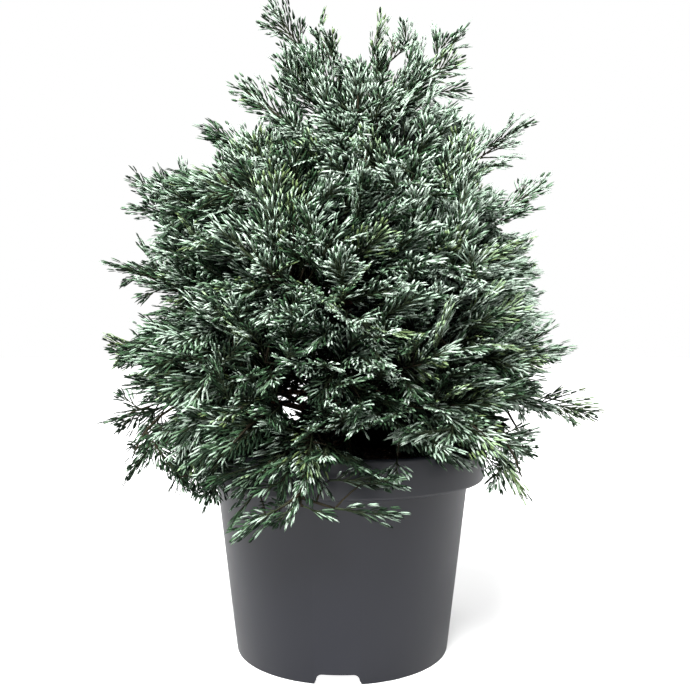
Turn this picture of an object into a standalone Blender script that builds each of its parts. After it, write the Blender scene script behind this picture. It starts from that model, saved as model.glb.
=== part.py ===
"""Potted false cypress: a young blue-green conifer shrub in a round nursery pot.

Metres, +Z up. The origin is the centre of the pot's underside, -Y is the plant's front and +X its right side.
Azimuths run anticlockwise from +X, seen from above.

The trunk rises from the compost to the crown's top. Tiers of boughs leave it, and each tier's foliage masses
reach to the crown's outline. A mass is one stem with side twigs and toothed sprays, and keeps to its own space:
the points that are nearer to its stem than to the stem of any other mass.
"""

import math
import random
from dataclasses import dataclass

import bmesh
import bpy
import numpy
from mathutils import Vector
from mathutils.bvhtree import BVHTree

# --- Pot ---
RIM_RADIUS = 0.095
POT_HEIGHT = 0.1355
COLLAR_HEIGHT = 0.0235
BODY_TOP_RADIUS = 0.0832
FOOT_RADIUS = 0.0697
WALL = 0.0016
LIP = 0.0022
COLLAR_DRAFT = 0.0010  # how much narrower the collar is at its foot
EDGE = 0.0014  # width and height of the small slopes at the collar's foot
FOOT_WIDTH = 0.0055
FLOOR_UNDERSIDE = 0.007
BOSS_RADIUS = 0.016  # flat foot in the underside's middle
FLOOR_TOP = 0.009
POT_SEGMENTS = 32
NOTCH_COUNT = 3
NOTCH_AZIMUTH = -92.0
NOTCH_HEIGHT = 0.0062
NOTCH_HALF_WIDTHS = (0.0150, 0.0105)  # near the ground and at the notch's top
NOTCH_FLARE = 0.0030  # how much wider it is at the ground
DRAIN_COUNT = 6
DRAIN_RADIUS = 0.0045
DRAIN_CIRCLE = 0.042
DRAIN_SIDES = 10

# --- Compost and trunk ---
CLEARANCE = 0.0003  # between solids that touch in life
SOIL_LEVEL = 0.1225
MOUND = 0.0030  # how much lower the compost lies at the pot's wall
MOUND_RADIUS = 0.030  # of its level middle
TRUNK_RADIUS = 0.0052
TRUNK_TIP_RADIUS = 0.0013
TRUNK_TOP = 0.352
TRUNK_LEAN = Vector((0.014, 0.004, 0.0))  # how far the tip stands off the foot
FLARE = 0.0040
FLARE_HEIGHT = 0.009
TRUNK_SIDES = 8
TRUNK_RINGS = 10

# --- Boughs, twigs and sprays ---
BOUGH_RADII = (0.0027, 0.0015)
BOUGH_SIDES = 5
BOUGH_RINGS = 4
STEM_RADII = (0.0015, 0.0006)
STEM_RINGS = 4
STEM_END = 0.84  # share of the axis's stem at which the solid stem ends, inside the tip's spray
TIP_SPRAY_START = 0.72
STEM_STEPS = 8  # straight pieces that stand for an axis in the tests of space
TWIG_RADII = (0.0012, 0.0007)
TWIG_SIDES = 3
SPRAY_LENGTH = 0.056
SHORTEST_SPRAY = 0.019
SPRAY_THICKNESS = 0.0030
SPRAY_HALF_WIDTH = 0.24  # share of a spray's length
SPRAY_SINK = 0.005  # how deep a spray is rooted in the core
SPRAY_SWEEP = 0.35  # how strongly the core's sprays lean towards the tip
SPRAY_SPACING = 0.014
SPRAY_TRIES = 60
SPRAY_SHRINKS = (1.0, 0.86, 0.74)  # sizes tried where a spray finds no room
SPRAY_ROLLS = 5  # rolls tried at each size
CORE_SLANTS = (100, 16)  # degrees to the stem
SHORTEST_TWIG = 0.012
FIRST_TWIG = 0.15  # share of the stem
LAST_TWIG = 0.88
TWIG_SLANTS = (72, 36)  # degrees to the stem, at its root and at its tip
CORE_MIDDLE = 0.45  # share of the stem
CORE_FILL = 0.75  # share of the room round a core's middle
CORE_INSET = 0.028  # how far the cores stay inside the crown's outline
CORE_SIDES = 6
CORE_POLARS = (0, 52, 108, 180)
GOLDEN_ANGLE = math.radians(137.5)
GOLDEN_SHARE = 0.618
SPACE_MARGIN = 0.0010
LIMB_MARGIN = 0.0021
POT_MARGIN = 0.0020

# The crown's outline: height, then the reach from the pot's axis at the right, back, left and front.
CROWN_OUTLINE = (
    (0.084, 0.098, 0.100, 0.098, 0.122),
    (0.105, 0.122, 0.122, 0.120, 0.130),
    (0.125, 0.152, 0.138, 0.148, 0.138),
    (0.154, 0.177, 0.150, 0.157, 0.144),
    (0.197, 0.152, 0.150, 0.173, 0.146),
    (0.236, 0.145, 0.146, 0.152, 0.140),
    (0.275, 0.139, 0.138, 0.153, 0.132),
    (0.305, 0.139, 0.128, 0.153, 0.120),
    (0.318, 0.134, 0.122, 0.150, 0.112),
    (0.330, 0.130, 0.114, 0.110, 0.104),
    (0.356, 0.132, 0.100, 0.097, 0.088),
    (0.376, 0.098, 0.085, 0.080, 0.072),
    (0.432, 0.092, 0.062, 0.062, 0.052),
)

GREY_PLASTIC = ((0.055, 0.057, 0.063), 0.42)
COMPOST = ((0.030, 0.019, 0.013), 0.95)
BARK = ((0.110, 0.062, 0.038), 0.85)
NEEDLES = ((0.190, 0.270, 0.215), 0.60)


@dataclass(frozen=True)
class Tier:
    """A ring of foliage masses: where they leave the trunk, where they end and how far they reach."""

    name: str
    count: int
    azimuth: float  # of the first mass, in degrees
    root: float  # lowest height at which they leave the trunk
    tips: tuple  # height of the tips at the right, back, left and front
    reach: tuple  # distance of the tips from the pot's axis, the same way round
    arch: float  # how far the middle of an axis stands over its chord
    elbow: float  # share of the way out at which an axis bends most
    bough_share: float  # share of the axis that is a bare bough, or 0 where the mass starts at the trunk
    spread: float  # length of the longest side twig
    core: float = 0.055  # largest radius of a core
    sprays: int = 7
    droop: float = 0.0  # how strongly the sprays hang
    root_rise: float = 0.0026  # between one root and the next round the trunk


TIERS = (
    Tier(
        "skirt", 6, -100, 0.1345, (0.121, 0.120, 0.120, 0.105), (0.143, 0.128, 0.142, 0.124),
        0.038, 0.90, 0.30, 0.075, droop=0.35,
    ),
    Tier(
        "low", 6, 4, 0.1560, (0.154, 0.152, 0.148, 0.142), (0.175, 0.146, 0.155, 0.134),
        0.012, 0.60, 0.26, 0.080,
    ),
    Tier(
        "mid", 6, -10, 0.1720, (0.200, 0.200, 0.199, 0.190), (0.148, 0.145, 0.172, 0.135),
        -0.004, 0.50, 0.0, 0.080,
    ),
    Tier(
        "shoulder", 6, 10, 0.2050, (0.250, 0.250, 0.254, 0.244), (0.138, 0.140, 0.152, 0.128),
        -0.008, 0.50, 0.0, 0.075,
    ),
    Tier(
        "upper", 6, -8, 0.2420, (0.304, 0.302, 0.312, 0.300), (0.138, 0.124, 0.150, 0.112),
        -0.010, 0.50, 0.0, 0.070,
    ),
    Tier(
        "high", 4, 6, 0.2900, (0.356, 0.352, 0.346, 0.352), (0.131, 0.096, 0.092, 0.084),
        -0.010, 0.50, 0.0, 0.055,
    ),
)


@dataclass(frozen=True)
class Leader:
    """A steep mass at the trunk's top."""

    name: str
    root: float
    tip: tuple
    arch: float
    spread: float
    core: float = 0.022
    sprays: int = 7


LEADERS = (
    Leader("leader_side", 0.3205, (-0.071, -0.008, 0.3730), -0.004, 0.036, sprays=6),
    Leader("leader_left", 0.327, (-0.050, -0.004, 0.4285), 0.004, 0.042),
    Leader("leader_right", 0.335, (0.085, 0.006, 0.4180), -0.004, 0.042),
    Leader("leader_front", 0.343, (0.036, -0.030, 0.4000), -0.004, 0.036),
    Leader("leader_middle", 0.339, (-0.015, -0.022, 0.4010), -0.002, 0.040),
    Leader("leader_back", 0.331, (0.008, 0.050, 0.4020), -0.004, 0.036),
)


def clear_scene():
    """Removes whatever the scene holds."""
    for obj in list(bpy.data.objects):
        bpy.data.objects.remove(obj, do_unlink=True)


def material(name, colour, roughness):
    """A Principled material, made once for each name."""
    made = bpy.data.materials.get(name)
    if made is None:
        made = bpy.data.materials.new(name)
        made.use_nodes = True
        shader = made.node_tree.nodes["Principled BSDF"]
        shader.inputs["Base Color"].default_value = (*colour, 1.0)
        shader.inputs["Roughness"].default_value = roughness
        shader.inputs["Metallic"].default_value = 0.0
    return made


def object_from(name, mesh_data, finish_name, finish, collection=None):
    """Turns a bmesh into an object with one material, and frees the bmesh."""
    bmesh.ops.recalc_face_normals(mesh_data, faces=mesh_data.faces)
    mesh = bpy.data.meshes.new(name)
    mesh_data.to_mesh(mesh)
    mesh_data.free()
    mesh.materials.append(material(finish_name, *finish))
    obj = bpy.data.objects.new(name, mesh)
    (collection or bpy.context.scene.collection).objects.link(obj)
    return obj


def lathe(profile, segments):
    """A solid of revolution about Z. The profile is (radius, height) points from axis to axis."""
    made = bmesh.new()
    points = [made.verts.new((radius, 0.0, height)) for radius, height in profile]
    edges = [made.edges.new(pair) for pair in zip(points, points[1:])]
    bmesh.ops.spin(
        made, geom=points + edges, axis=(0, 0, 1), cent=(0, 0, 0),
        steps=segments, angle=math.tau, use_merge=True, use_duplicate=False,
    )
    bmesh.ops.remove_doubles(made, verts=made.verts, dist=1e-6)
    return made


def across(direction, hint=Vector((0, 0, 1))):
    """Two unit vectors square to direction: the first level where it can be, the second upwards."""
    side = direction.cross(hint)
    if side.length < 1e-3:
        side = direction.cross(Vector((0, 1, 0)))
    side.normalize()
    return side, side.cross(direction).normalized()


def outwards(ahead, slant, turn):
    """The direction at an angle to ahead, turned round it from the level side."""
    side, up = across(ahead)
    return math.cos(slant) * ahead + math.sin(slant) * (math.cos(turn) * side + math.sin(turn) * up)


def tube(path, radii, sides, lobes=None):
    """A closed tube with flat ends along path. With lobes(ring, angle), which scale the radius, rings are level."""
    made = bmesh.new()
    rings = []
    for index, centre in enumerate(path):
        ahead = path[min(index + 1, len(path) - 1)] - path[max(index - 1, 0)]
        side, up = across(Vector((0, 0, 1)) if lobes else ahead.normalized())
        ring = []
        for corner in range(sides):
            angle = math.tau * corner / sides
            reach = radii[index] * (lobes(index, angle) if lobes else 1.0)
            ring.append(made.verts.new(centre + reach * (math.cos(angle) * side + math.sin(angle) * up)))
        rings.append(ring)
    for low, high in zip(rings, rings[1:]):
        for corner in range(sides):
            after = (corner + 1) % sides
            made.faces.new((low[corner], low[after], high[after], high[corner]))
    made.faces.new(rings[0][::-1])
    made.faces.new(rings[-1])
    return made


def taper(radii, count):
    """Evenly changing radii from the first to the second of radii."""
    return [radii[0] + (radii[1] - radii[0]) * index / (count - 1) for index in range(count)]


# --- Pot and compost ---


def pot_profile():
    """The pot's section, from the underside's centre round the outside to the floor's centre."""
    shoulder = POT_HEIGHT - COLLAR_HEIGHT
    return [
        (0.0, 0.0),
        (BOSS_RADIUS, 0.0),
        (BOSS_RADIUS, FLOOR_UNDERSIDE),
        (FOOT_RADIUS - FOOT_WIDTH, FLOOR_UNDERSIDE),
        (FOOT_RADIUS - FOOT_WIDTH, 0.0),
        (FOOT_RADIUS, 0.0),
        (BODY_TOP_RADIUS, shoulder - EDGE),
        (RIM_RADIUS - COLLAR_DRAFT - EDGE, shoulder),
        (RIM_RADIUS - COLLAR_DRAFT, shoulder + EDGE),
        (RIM_RADIUS, POT_HEIGHT - EDGE),
        (RIM_RADIUS - EDGE / 2, POT_HEIGHT),
        (RIM_RADIUS - LIP, POT_HEIGHT),
        (RIM_RADIUS - COLLAR_DRAFT - LIP, shoulder + 2 * EDGE),
        (BODY_TOP_RADIUS - WALL, shoulder + WALL),
        (BODY_TOP_RADIUS - WALL, shoulder - 2 * EDGE),
        (FOOT_RADIUS - WALL, FLOOR_TOP),
        (0.0, FLOOR_TOP),
    ]


def notch_cutter(cutters, azimuth):
    """Adds the wedge that cuts one drainage notch through the foot ring."""
    outward = Vector((math.cos(azimuth), math.sin(azimuth), 0.0))
    along = Vector((-outward.y, outward.x, 0.0))
    low, high = NOTCH_HALF_WIDTHS
    below = -NOTCH_HEIGHT / 3
    section = (
        (-low - NOTCH_FLARE, below), (low + NOTCH_FLARE, below), (low, EDGE),
        (high, NOTCH_HEIGHT), (-high, NOTCH_HEIGHT), (-low, EDGE),
    )
    ends = []
    for radius in (FOOT_RADIUS - 2 * FOOT_WIDTH, FOOT_RADIUS + 2 * FOOT_WIDTH):
        ends.append([cutters.verts.new(radius * outward + s * along + Vector((0, 0, z))) for s, z in section])
    inner, outer = ends
    cutters.faces.new(inner)
    cutters.faces.new(outer[::-1])
    for index in range(len(section)):
        after = (index + 1) % len(section)
        cutters.faces.new((inner[index], outer[index], outer[after], inner[after]))


def build_pot():
    """The stepped nursery pot with its notched foot ring and drained floor."""
    pot = object_from("pot", lathe(pot_profile(), POT_SEGMENTS), "grey_plastic", GREY_PLASTIC)
    cutters = bmesh.new()
    for index in range(NOTCH_COUNT):
        notch_cutter(cutters, math.radians(NOTCH_AZIMUTH + 360 * index / NOTCH_COUNT))
    for index in range(DRAIN_COUNT):
        azimuth = math.tau * (index + 0.5) / DRAIN_COUNT
        drain = bmesh.ops.create_cone(
            cutters, cap_ends=True, segments=DRAIN_SIDES, radius1=DRAIN_RADIUS, radius2=DRAIN_RADIUS,
            depth=4 * (FLOOR_TOP - FLOOR_UNDERSIDE),
        )
        centre = Vector((math.cos(azimuth) * DRAIN_CIRCLE, math.sin(azimuth) * DRAIN_CIRCLE, FLOOR_TOP))
        bmesh.ops.translate(cutters, verts=drain["verts"], vec=centre)
    cutter = object_from("pot_cutter", cutters, "grey_plastic", GREY_PLASTIC)
    cutter.hide_render = True
    cutter.display_type = "WIRE"
    cut = pot.modifiers.new("notches_and_drains", "BOOLEAN")
    cut.operation = "DIFFERENCE"
    cut.solver = "EXACT"
    cut.object = cutter
    return pot


def build_compost():
    """The root ball's compost, which fills the pot to a little under its rim."""
    shoulder = POT_HEIGHT - COLLAR_HEIGHT
    collar_bore = RIM_RADIUS - COLLAR_DRAFT - LIP
    gap = 2 * CLEARANCE
    profile = [
        (0.0, FLOOR_TOP + CLEARANCE),
        (FOOT_RADIUS - WALL - gap, FLOOR_TOP + CLEARANCE),
        (BODY_TOP_RADIUS - WALL - gap, shoulder - 2 * EDGE),
        (BODY_TOP_RADIUS - WALL - gap, shoulder + WALL + 2 * gap),
        (collar_bore - 2 * gap, shoulder + 2 * EDGE + 2 * gap),
        (collar_bore - gap, SOIL_LEVEL - MOUND),
        (MOUND_RADIUS, SOIL_LEVEL),
        (0.0, SOIL_LEVEL),
    ]
    return object_from("compost", lathe(profile, POT_SEGMENTS), "compost", COMPOST)


# --- Trunk and axes ---


def trunk_centre(height):
    """The trunk's centre line at a height, leaning and a little bent."""
    share = (height - SOIL_LEVEL) / (TRUNK_TOP - SOIL_LEVEL)
    bend = 0.0030 * math.sin(math.tau * share * 0.9)
    return Vector((TRUNK_LEAN.x * share**1.3 - bend, TRUNK_LEAN.y * share + 0.6 * bend, height))


def trunk_radius(height):
    """The trunk's radius at a height, with the flare at its foot."""
    share = (height - SOIL_LEVEL) / (TRUNK_TOP - SOIL_LEVEL)
    stem = TRUNK_TIP_RADIUS + (TRUNK_RADIUS - TRUNK_TIP_RADIUS) * (1 - share) ** 0.85
    return stem + FLARE * math.exp(-(height - SOIL_LEVEL) / FLARE_HEIGHT)


def trunk_heights():
    """Ring heights, closer together at the flare."""
    foot = SOIL_LEVEL + CLEARANCE
    return [foot + (TRUNK_TOP - foot) * (index / (TRUNK_RINGS - 1)) ** 1.6 for index in range(TRUNK_RINGS)]


def trunk_mesh(extra=0.0):
    """The trunk from its flat foot to its tip, grown by extra all round."""
    heights = trunk_heights()

    def root_lobes(index, angle):
        depth = 0.16 * math.exp(-(heights[index] - SOIL_LEVEL) / FLARE_HEIGHT)
        return 1.0 + depth * math.cos(4 * angle)

    path = [trunk_centre(height) for height in heights]
    if extra:
        path[0] = path[0] - Vector((0, 0, extra))
        path[-1] = path[-1] + Vector((0, 0, extra))
    return tube(path, [trunk_radius(height) + extra for height in heights], TRUNK_SIDES, root_lobes)


def by_quarter(values, azimuth):
    """Blends the values for right, back, left and front at an azimuth."""
    right, back, left, front = values
    x, y = math.cos(azimuth), math.sin(azimuth)
    return (right if x > 0 else left) * x * x + (back if y > 0 else front) * y * y


@dataclass
class Axis:
    """The line that a bough and its mass follow, from the trunk to the mass's tip."""

    name: str
    root: Vector
    tip: Vector
    arch: float
    elbow: float
    bough_share: float
    spread: float
    core: float
    sprays: int
    droop: float

    def at(self, share):
        """The point at a share of the way out."""
        bend = self.root.lerp(self.tip, self.elbow) + Vector((0, 0, 2 * self.arch))
        return (1 - share) ** 2 * self.root + 2 * share * (1 - share) * bend + share**2 * self.tip

    def ahead(self, share):
        """The unit direction of growth there."""
        return (self.at(share + 0.02) - self.at(share - 0.02)).normalized()

    @property
    def length(self):
        return (self.tip - self.root).length

    @property
    def stem_start(self):
        """The share at which the mass's stem begins."""
        return self.bough_share + (CLEARANCE / self.length if self.bough_share else 0.0)


def crown_axes():
    """Every mass's axis, from the skirt to the leaders."""
    axes = []
    for tier in TIERS:
        for index in range(tier.count):
            azimuth = math.radians(tier.azimuth) + math.tau * index / tier.count
            reach = by_quarter(tier.reach, azimuth)
            tip = Vector((reach * math.cos(azimuth), reach * math.sin(azimuth), by_quarter(tier.tips, azimuth)))
            root = trunk_centre(tier.root + tier.root_rise * index)
            name = f"{tier.name}_{index + 1}"
            axes.append(Axis(
                name, root, tip, tier.arch, tier.elbow, tier.bough_share,
                tier.spread, tier.core, tier.sprays, tier.droop,
            ))
    for leader in LEADERS:
        root = trunk_centre(leader.root)
        axes.append(Axis(
            leader.name, root, Vector(leader.tip), leader.arch, 0.5, 0.0,
            leader.spread, leader.core, leader.sprays, 0.0,
        ))
    return axes


# --- Keeping clear ---


class Crown:
    """What each piece of foliage has to keep clear of."""

    def __init__(self, axes):
        self.names = [axis.name for axis in axes]
        stems = [[axis.at(share) for share in numpy.linspace(axis.stem_start, 1.0, STEM_STEPS + 1)] for axis in axes]
        stems = numpy.array(stems)[:, STEM_STEPS // 4:]
        self.stem_starts, self.stem_runs = stems[:, :-1], numpy.diff(stems, axis=1)
        heights = trunk_heights()
        limbs = [
            (trunk_centre(low), trunk_centre(high), trunk_radius(low), "")
            for low, high in zip(heights, heights[1:])
        ]
        for axis in axes:
            limbs += self.pieces_of(axis)
        self.starts = numpy.array([limb[0] for limb in limbs])
        self.runs = numpy.array([limb[1] - limb[0] for limb in limbs])
        self.radii = numpy.array([limb[2] for limb in limbs])
        self.owners = numpy.array([limb[3] for limb in limbs])

    @staticmethod
    def pieces_of(axis):
        """The axis as short straight limbs: (start, end, radius, owner of the stem)."""
        limbs = []
        for index in range(STEM_STEPS):
            start, end = index / STEM_STEPS, (index + 1) / STEM_STEPS
            bare = start < axis.bough_share
            end = min(end, axis.bough_share) if bare else end
            radius = BOUGH_RADII[0] if bare else STEM_RADII[0]
            limbs.append((axis.at(start), axis.at(end), radius, "" if bare else axis.name))
        return limbs

    @staticmethod
    def distances(points, starts, runs):
        """Distances from points to straight pieces, which may be arranged in rows."""
        points = points.reshape(len(points), *(1,) * (starts.ndim - 1), 3)
        shares = numpy.sum((points - starts) * runs, axis=-1) / numpy.sum(runs * runs, axis=-1)
        nearest = starts + numpy.clip(shares, 0, 1)[..., None] * runs
        return numpy.linalg.norm(points - nearest, axis=-1)

    def in_space(self, axis, points):
        """Which points are nearer to this mass's stem than to any other's."""
        nearest = self.distances(points, self.stem_starts, self.stem_runs).min(axis=2)
        own = self.names.index(axis.name)
        others = numpy.delete(nearest, own, axis=1).min(axis=1)
        return nearest[:, own] < others - SPACE_MARGIN

    def off_limbs(self, axis, points):
        """Which points keep off the trunk, the boughs and the other masses' stems."""
        others = self.owners != axis.name
        distances = self.distances(points, self.starts[others], self.runs[others])
        return (distances > self.radii[others] + LIMB_MARGIN).all(axis=1)

    @staticmethod
    def off_pot(points):
        """Which points keep off the pot and the compost."""
        radius = numpy.hypot(points[:, 0], points[:, 1])
        height = points[:, 2]
        over = height > POT_HEIGHT + POT_MARGIN
        inside = (radius < RIM_RADIUS - LIP - 2 * POT_MARGIN) & (height > SOIL_LEVEL + POT_MARGIN)
        return over | inside | (radius > RIM_RADIUS + POT_MARGIN)

    @staticmethod
    def in_outline(points, inset=0.0):
        """Which points lie inside the crown's outline, drawn in by inset."""
        heights, right, back, left, front = numpy.array(CROWN_OUTLINE).T
        height = points[:, 2]
        radius = numpy.maximum(numpy.hypot(points[:, 0], points[:, 1]), 1e-6)
        cosine, sine = points[:, 0] / radius, points[:, 1] / radius
        right, back, left, front = (numpy.interp(height, heights, side) for side in (right, back, left, front))
        reach = numpy.where(cosine > 0, right, left) * cosine**2 + numpy.where(sine > 0, back, front) * sine**2
        return (radius < reach - inset) & (height > heights[0] + inset) & (height < heights[-1] - inset)

    def clear(self, axis, points, inset=0.0):
        """Which of the points a piece of the mass may occupy."""
        points = numpy.array(points)
        return (
            self.in_outline(points, inset) & self.off_pot(points)
            & self.in_space(axis, points) & self.off_limbs(axis, points)
        )

    def allows(self, axis, points):
        """True if a piece with these points may grow."""
        return bool(self.clear(axis, points).all())

    def room(self, axis, start, direction, longest, inset=0.0):
        """How far a piece may reach from start, up to longest."""
        step = 0.0015
        distances = numpy.arange(step, longest, step)
        points = numpy.array(start) + distances[:, None] * numpy.array(direction)
        clear = self.clear(axis, points, inset)
        return longest if clear.all() else step * float(numpy.argmin(clear))


def over_triangle(first, second, third, count=7):
    """A grid of points over a triangle, its corners included."""
    return [
        (row * first + column * second + (count - row - column) * third) / count
        for row in range(count + 1) for column in range(count + 1 - row)
    ]


# --- Foliage ---


class Spray:
    """A flattened spray of needles: a toothed blade that thins from its rib to its edge."""

    # Places along the blade and across it, as shares of its length and half width.
    LONG_EDGE = ((0.0, 0.14), (0.30, 0.95), (0.38, 0.36), (0.56, 0.88), (0.60, 0.32), (0.80, 0.55), (0.84, 0.18))
    SHORT_EDGE = ((0.0, 0.16), (0.38, 1.0), (0.48, 0.36), (0.75, 0.70), (0.80, 0.24))
    RIB = 0.42

    def __init__(self, root, direction, face, length, bend, edge):
        self.root, self.direction, self.length = root, direction.normalized(), length
        self.side = self.direction.cross(face).normalized()
        self.face = self.side.cross(self.direction).normalized()
        self.bend = bend
        self.edge = edge

    def place(self, along, sideways=0.0, lift=0.0):
        """A point of the blade, which curves towards its face."""
        half = SPRAY_HALF_WIDTH * self.length
        curve = self.bend * self.length * along * along
        return (
            self.root + along * self.length * self.direction
            + sideways * half * self.side + (lift + curve) * self.face
        )

    def points(self):
        """The outline's points and a grid over the blade, for the tests of space."""
        edge = [self.place(along, side * wide) for along, wide in self.edge[1:] for side in (1, -1)]
        grid = [
            self.place(0.09 * step, side * min(1.0, 1.5 - 0.14 * step))
            for step in range(1, 11) for side in (-0.6, -0.3, 0.0, 0.3, 0.6)
        ]
        rib = [self.place(self.RIB, 0.0, lift) for lift in (SPRAY_THICKNESS / 2, -SPRAY_THICKNESS / 2)]
        return edge + grid + rib + [self.place(1.0)]

    def mesh(self):
        """The closed blade."""
        made = bmesh.new()
        rows = [
            [made.verts.new(self.place(along, side * wide)) for along, wide in self.edge]
            for side in (1, -1)
        ]
        tip = made.verts.new(self.place(1.0))
        rim = rows[0] + [tip] + rows[1][::-1]
        for lift in (SPRAY_THICKNESS / 2, -SPRAY_THICKNESS / 2):
            rib = made.verts.new(self.place(self.RIB, 0.0, lift))
            for first, second in zip(rim, rim[1:] + rim[:1]):
                made.faces.new((first, second, rib))
        return made


class Mass:
    """One foliage mass: a stem, side twigs, sprays and a smaller dense core, fused into one solid."""

    def __init__(self, axis, crown):
        self.axis, self.crown = axis, crown
        self.random = random.Random(axis.name)
        self.parts = [self.stem_mesh()]
        self.middles = []
        self.middle = axis.at(self.share(CORE_MIDDLE))
        self.core = None

    def share(self, along):
        """The axis's share at a share along the stem."""
        start = self.axis.stem_start
        return start + along * (1 - start)

    def stem_mesh(self):
        """The stem, whose flat root meets the bough's tip or is cut clear of the trunk."""
        path = [self.axis.at(self.share(STEM_END * index / (STEM_RINGS - 1))) for index in range(STEM_RINGS)]
        return tube(path, taper(STEM_RADII, STEM_RINGS), TWIG_SIDES)

    def grow_blade(self, root, direction, length, edge=Spray.SHORT_EDGE):
        """Adds a spray's blade if there is room, after trying a few rolls and smaller sizes."""
        side, up = across(direction)
        for shrink in SPRAY_SHRINKS:
            for _ in range(SPRAY_ROLLS):
                roll = self.random.uniform(-1.1, 1.1)
                face = math.cos(roll) * up + math.sin(roll) * side
                bend = self.random.uniform(-0.10, 0.12)
                spray = Spray(root, direction, face, length * shrink, bend, edge)
                if self.crown.allows(self.axis, spray.points()):
                    self.parts.append(spray.mesh())
                    self.middles.append(spray.place(0.5))
                    return True
        return False

    def crowded(self, middle):
        """True if another spray's middle is near."""
        return any((middle - other).length < SPRAY_SPACING for other in self.middles)

    def grow_spray(self, root, direction):
        """Adds a twig and its spray if there is room for them: 1 if they grew."""
        direction = (direction - Vector((0, 0, self.axis.droop))).normalized()
        room = self.crown.room(self.axis, root, direction, self.axis.spread)
        reach = room * self.random.uniform(0.90, 1.0)
        length = min(SPRAY_LENGTH * self.random.uniform(0.85, 1.1), reach)
        if reach - length < SHORTEST_TWIG:
            length = reach
        start = root + (reach - length) * direction
        if length < SHORTEST_SPRAY or self.crowded(start + length / 2 * direction):
            return 0
        if not self.grow_blade(start, direction, length):
            return 0
        if reach > length:
            self.parts.append(tube([root, start + 0.25 * length * direction], TWIG_RADII, TWIG_SIDES))
        return 1

    def grow_sprays(self):
        """Adds sprays all round: by turns out of the core's surface and on side twigs of the stem."""
        turn, level, grown = self.random.uniform(0, math.tau), self.random.random(), 0
        for attempt in range(SPRAY_TRIES):
            turn += GOLDEN_ANGLE
            level = (level + GOLDEN_SHARE) % 1.0
            grows = self.grow_on_twig if attempt % 3 == 2 else self.grow_on_core
            grown += grows(level, turn)
            if grown == self.axis.sprays:
                return

    def grow_on_core(self, level, turn):
        """Tries a spray that leaves the core's surface and sweeps towards the tip: 1 if it grew."""
        ahead = self.axis.ahead(self.share(CORE_MIDDLE))
        out = outwards(ahead, math.radians(CORE_SLANTS[0] + (CORE_SLANTS[1] - CORE_SLANTS[0]) * level), turn)
        surface = self.core.ray_cast(self.middle, out)[0] or self.middle
        direction = (out + SPRAY_SWEEP * ahead).normalized()
        return self.grow_spray(surface - SPRAY_SINK * out, direction)

    def grow_on_twig(self, level, turn):
        """Tries a spray on a side twig of the stem: 1 if it grew."""
        along = self.share(FIRST_TWIG + (LAST_TWIG - FIRST_TWIG) * level)
        slant = math.radians(TWIG_SLANTS[0] + (TWIG_SLANTS[1] - TWIG_SLANTS[0]) * level)
        direction = outwards(self.axis.ahead(along), slant, turn)
        root = self.axis.at(along)
        surface, normal, _, _ = self.core.ray_cast(root, direction)
        if surface is not None and normal.dot(direction) > 0:
            root = surface - SPRAY_SINK * direction
        return self.grow_spray(root, direction)

    def grow_tip(self):
        """Adds the spray that reaches the axis's tip."""
        reach = self.axis.tip - self.axis.at(self.share(TIP_SPRAY_START))
        length = min(reach.length, 1.1 * SPRAY_LENGTH)
        self.grow_blade(self.axis.tip - length * reach.normalized(), reach, length, Spray.LONG_EDGE)

    def core_mesh(self):
        """A faceted body round the stem, which fills a share of the mass's space."""
        made = bmesh.new()
        ahead = self.axis.ahead(self.share(CORE_MIDDLE))
        rings = []
        for polar in CORE_POLARS:
            ring = []
            for corner in range(CORE_SIDES if 0 < polar < 180 else 1):
                turn = math.tau * (corner + 0.5 * len(rings)) / CORE_SIDES
                out = outwards(ahead, math.radians(polar), turn)
                room = self.crown.room(self.axis, self.middle, out, self.axis.spread, CORE_INSET)
                ring.append(made.verts.new(self.middle + min(CORE_FILL * room, self.axis.core) * out))
            rings.append(ring)
        first, last = rings[0][0], rings[-1][0]
        for corner in range(CORE_SIDES):
            after = (corner + 1) % CORE_SIDES
            made.faces.new((first, rings[1][corner], rings[1][after]))
            made.faces.new((last, rings[-2][after], rings[-2][corner]))
            for low, high in zip(rings[1:-1], rings[2:-1]):
                made.faces.new((low[corner], high[corner], low[after]))
                made.faces.new((low[after], high[corner], high[after]))
        return made

    def grow_core(self):
        """Adds the core, drawn in where a face comes too near a limb."""
        made = self.core_mesh()
        for _ in range(12):
            tight = set()
            for face in made.faces:
                if not self.crown.allows(self.axis, over_triangle(*(vert.co for vert in face.verts))):
                    tight.update(face.verts)
            for vert in tight:
                vert.co = self.middle + 0.88 * (vert.co - self.middle)
            if not tight:
                break
        self.core = BVHTree.FromBMesh(made)
        self.parts.append(made)

    def grow(self):
        """Grows every part by the seeded rule."""
        self.grow_core()
        self.grow_tip()
        self.grow_sprays()

    def fuse(self):
        """Joins the parts by one Boolean union and returns the mass as one object."""
        name = f"foliage_{self.axis.name}"
        operands = bpy.data.collections.new(name + "_parts")
        bpy.context.scene.collection.children.link(operands)
        base = object_from(name, self.parts[0], "needles", NEEDLES)
        for index, part in enumerate(self.parts[1:]):
            object_from(f"{name}_part_{index}", part, "needles", NEEDLES, operands)
        join = base.modifiers.new("join", "BOOLEAN")
        join.operation = "UNION"
        join.operand_type = "COLLECTION"
        join.collection = operands
        join.solver = "MANIFOLD"
        apply_modifiers(base)
        for part in list(operands.objects):
            bpy.data.objects.remove(part, do_unlink=True)
        bpy.data.collections.remove(operands)
        return base


def apply_modifiers(obj):
    """Replaces the object's mesh by its evaluated one."""
    bpy.context.view_layer.update()
    graph = bpy.context.evaluated_depsgraph_get()
    mesh = bpy.data.meshes.new_from_object(obj.evaluated_get(graph))
    obj.modifiers.clear()
    obj.data = mesh


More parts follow.
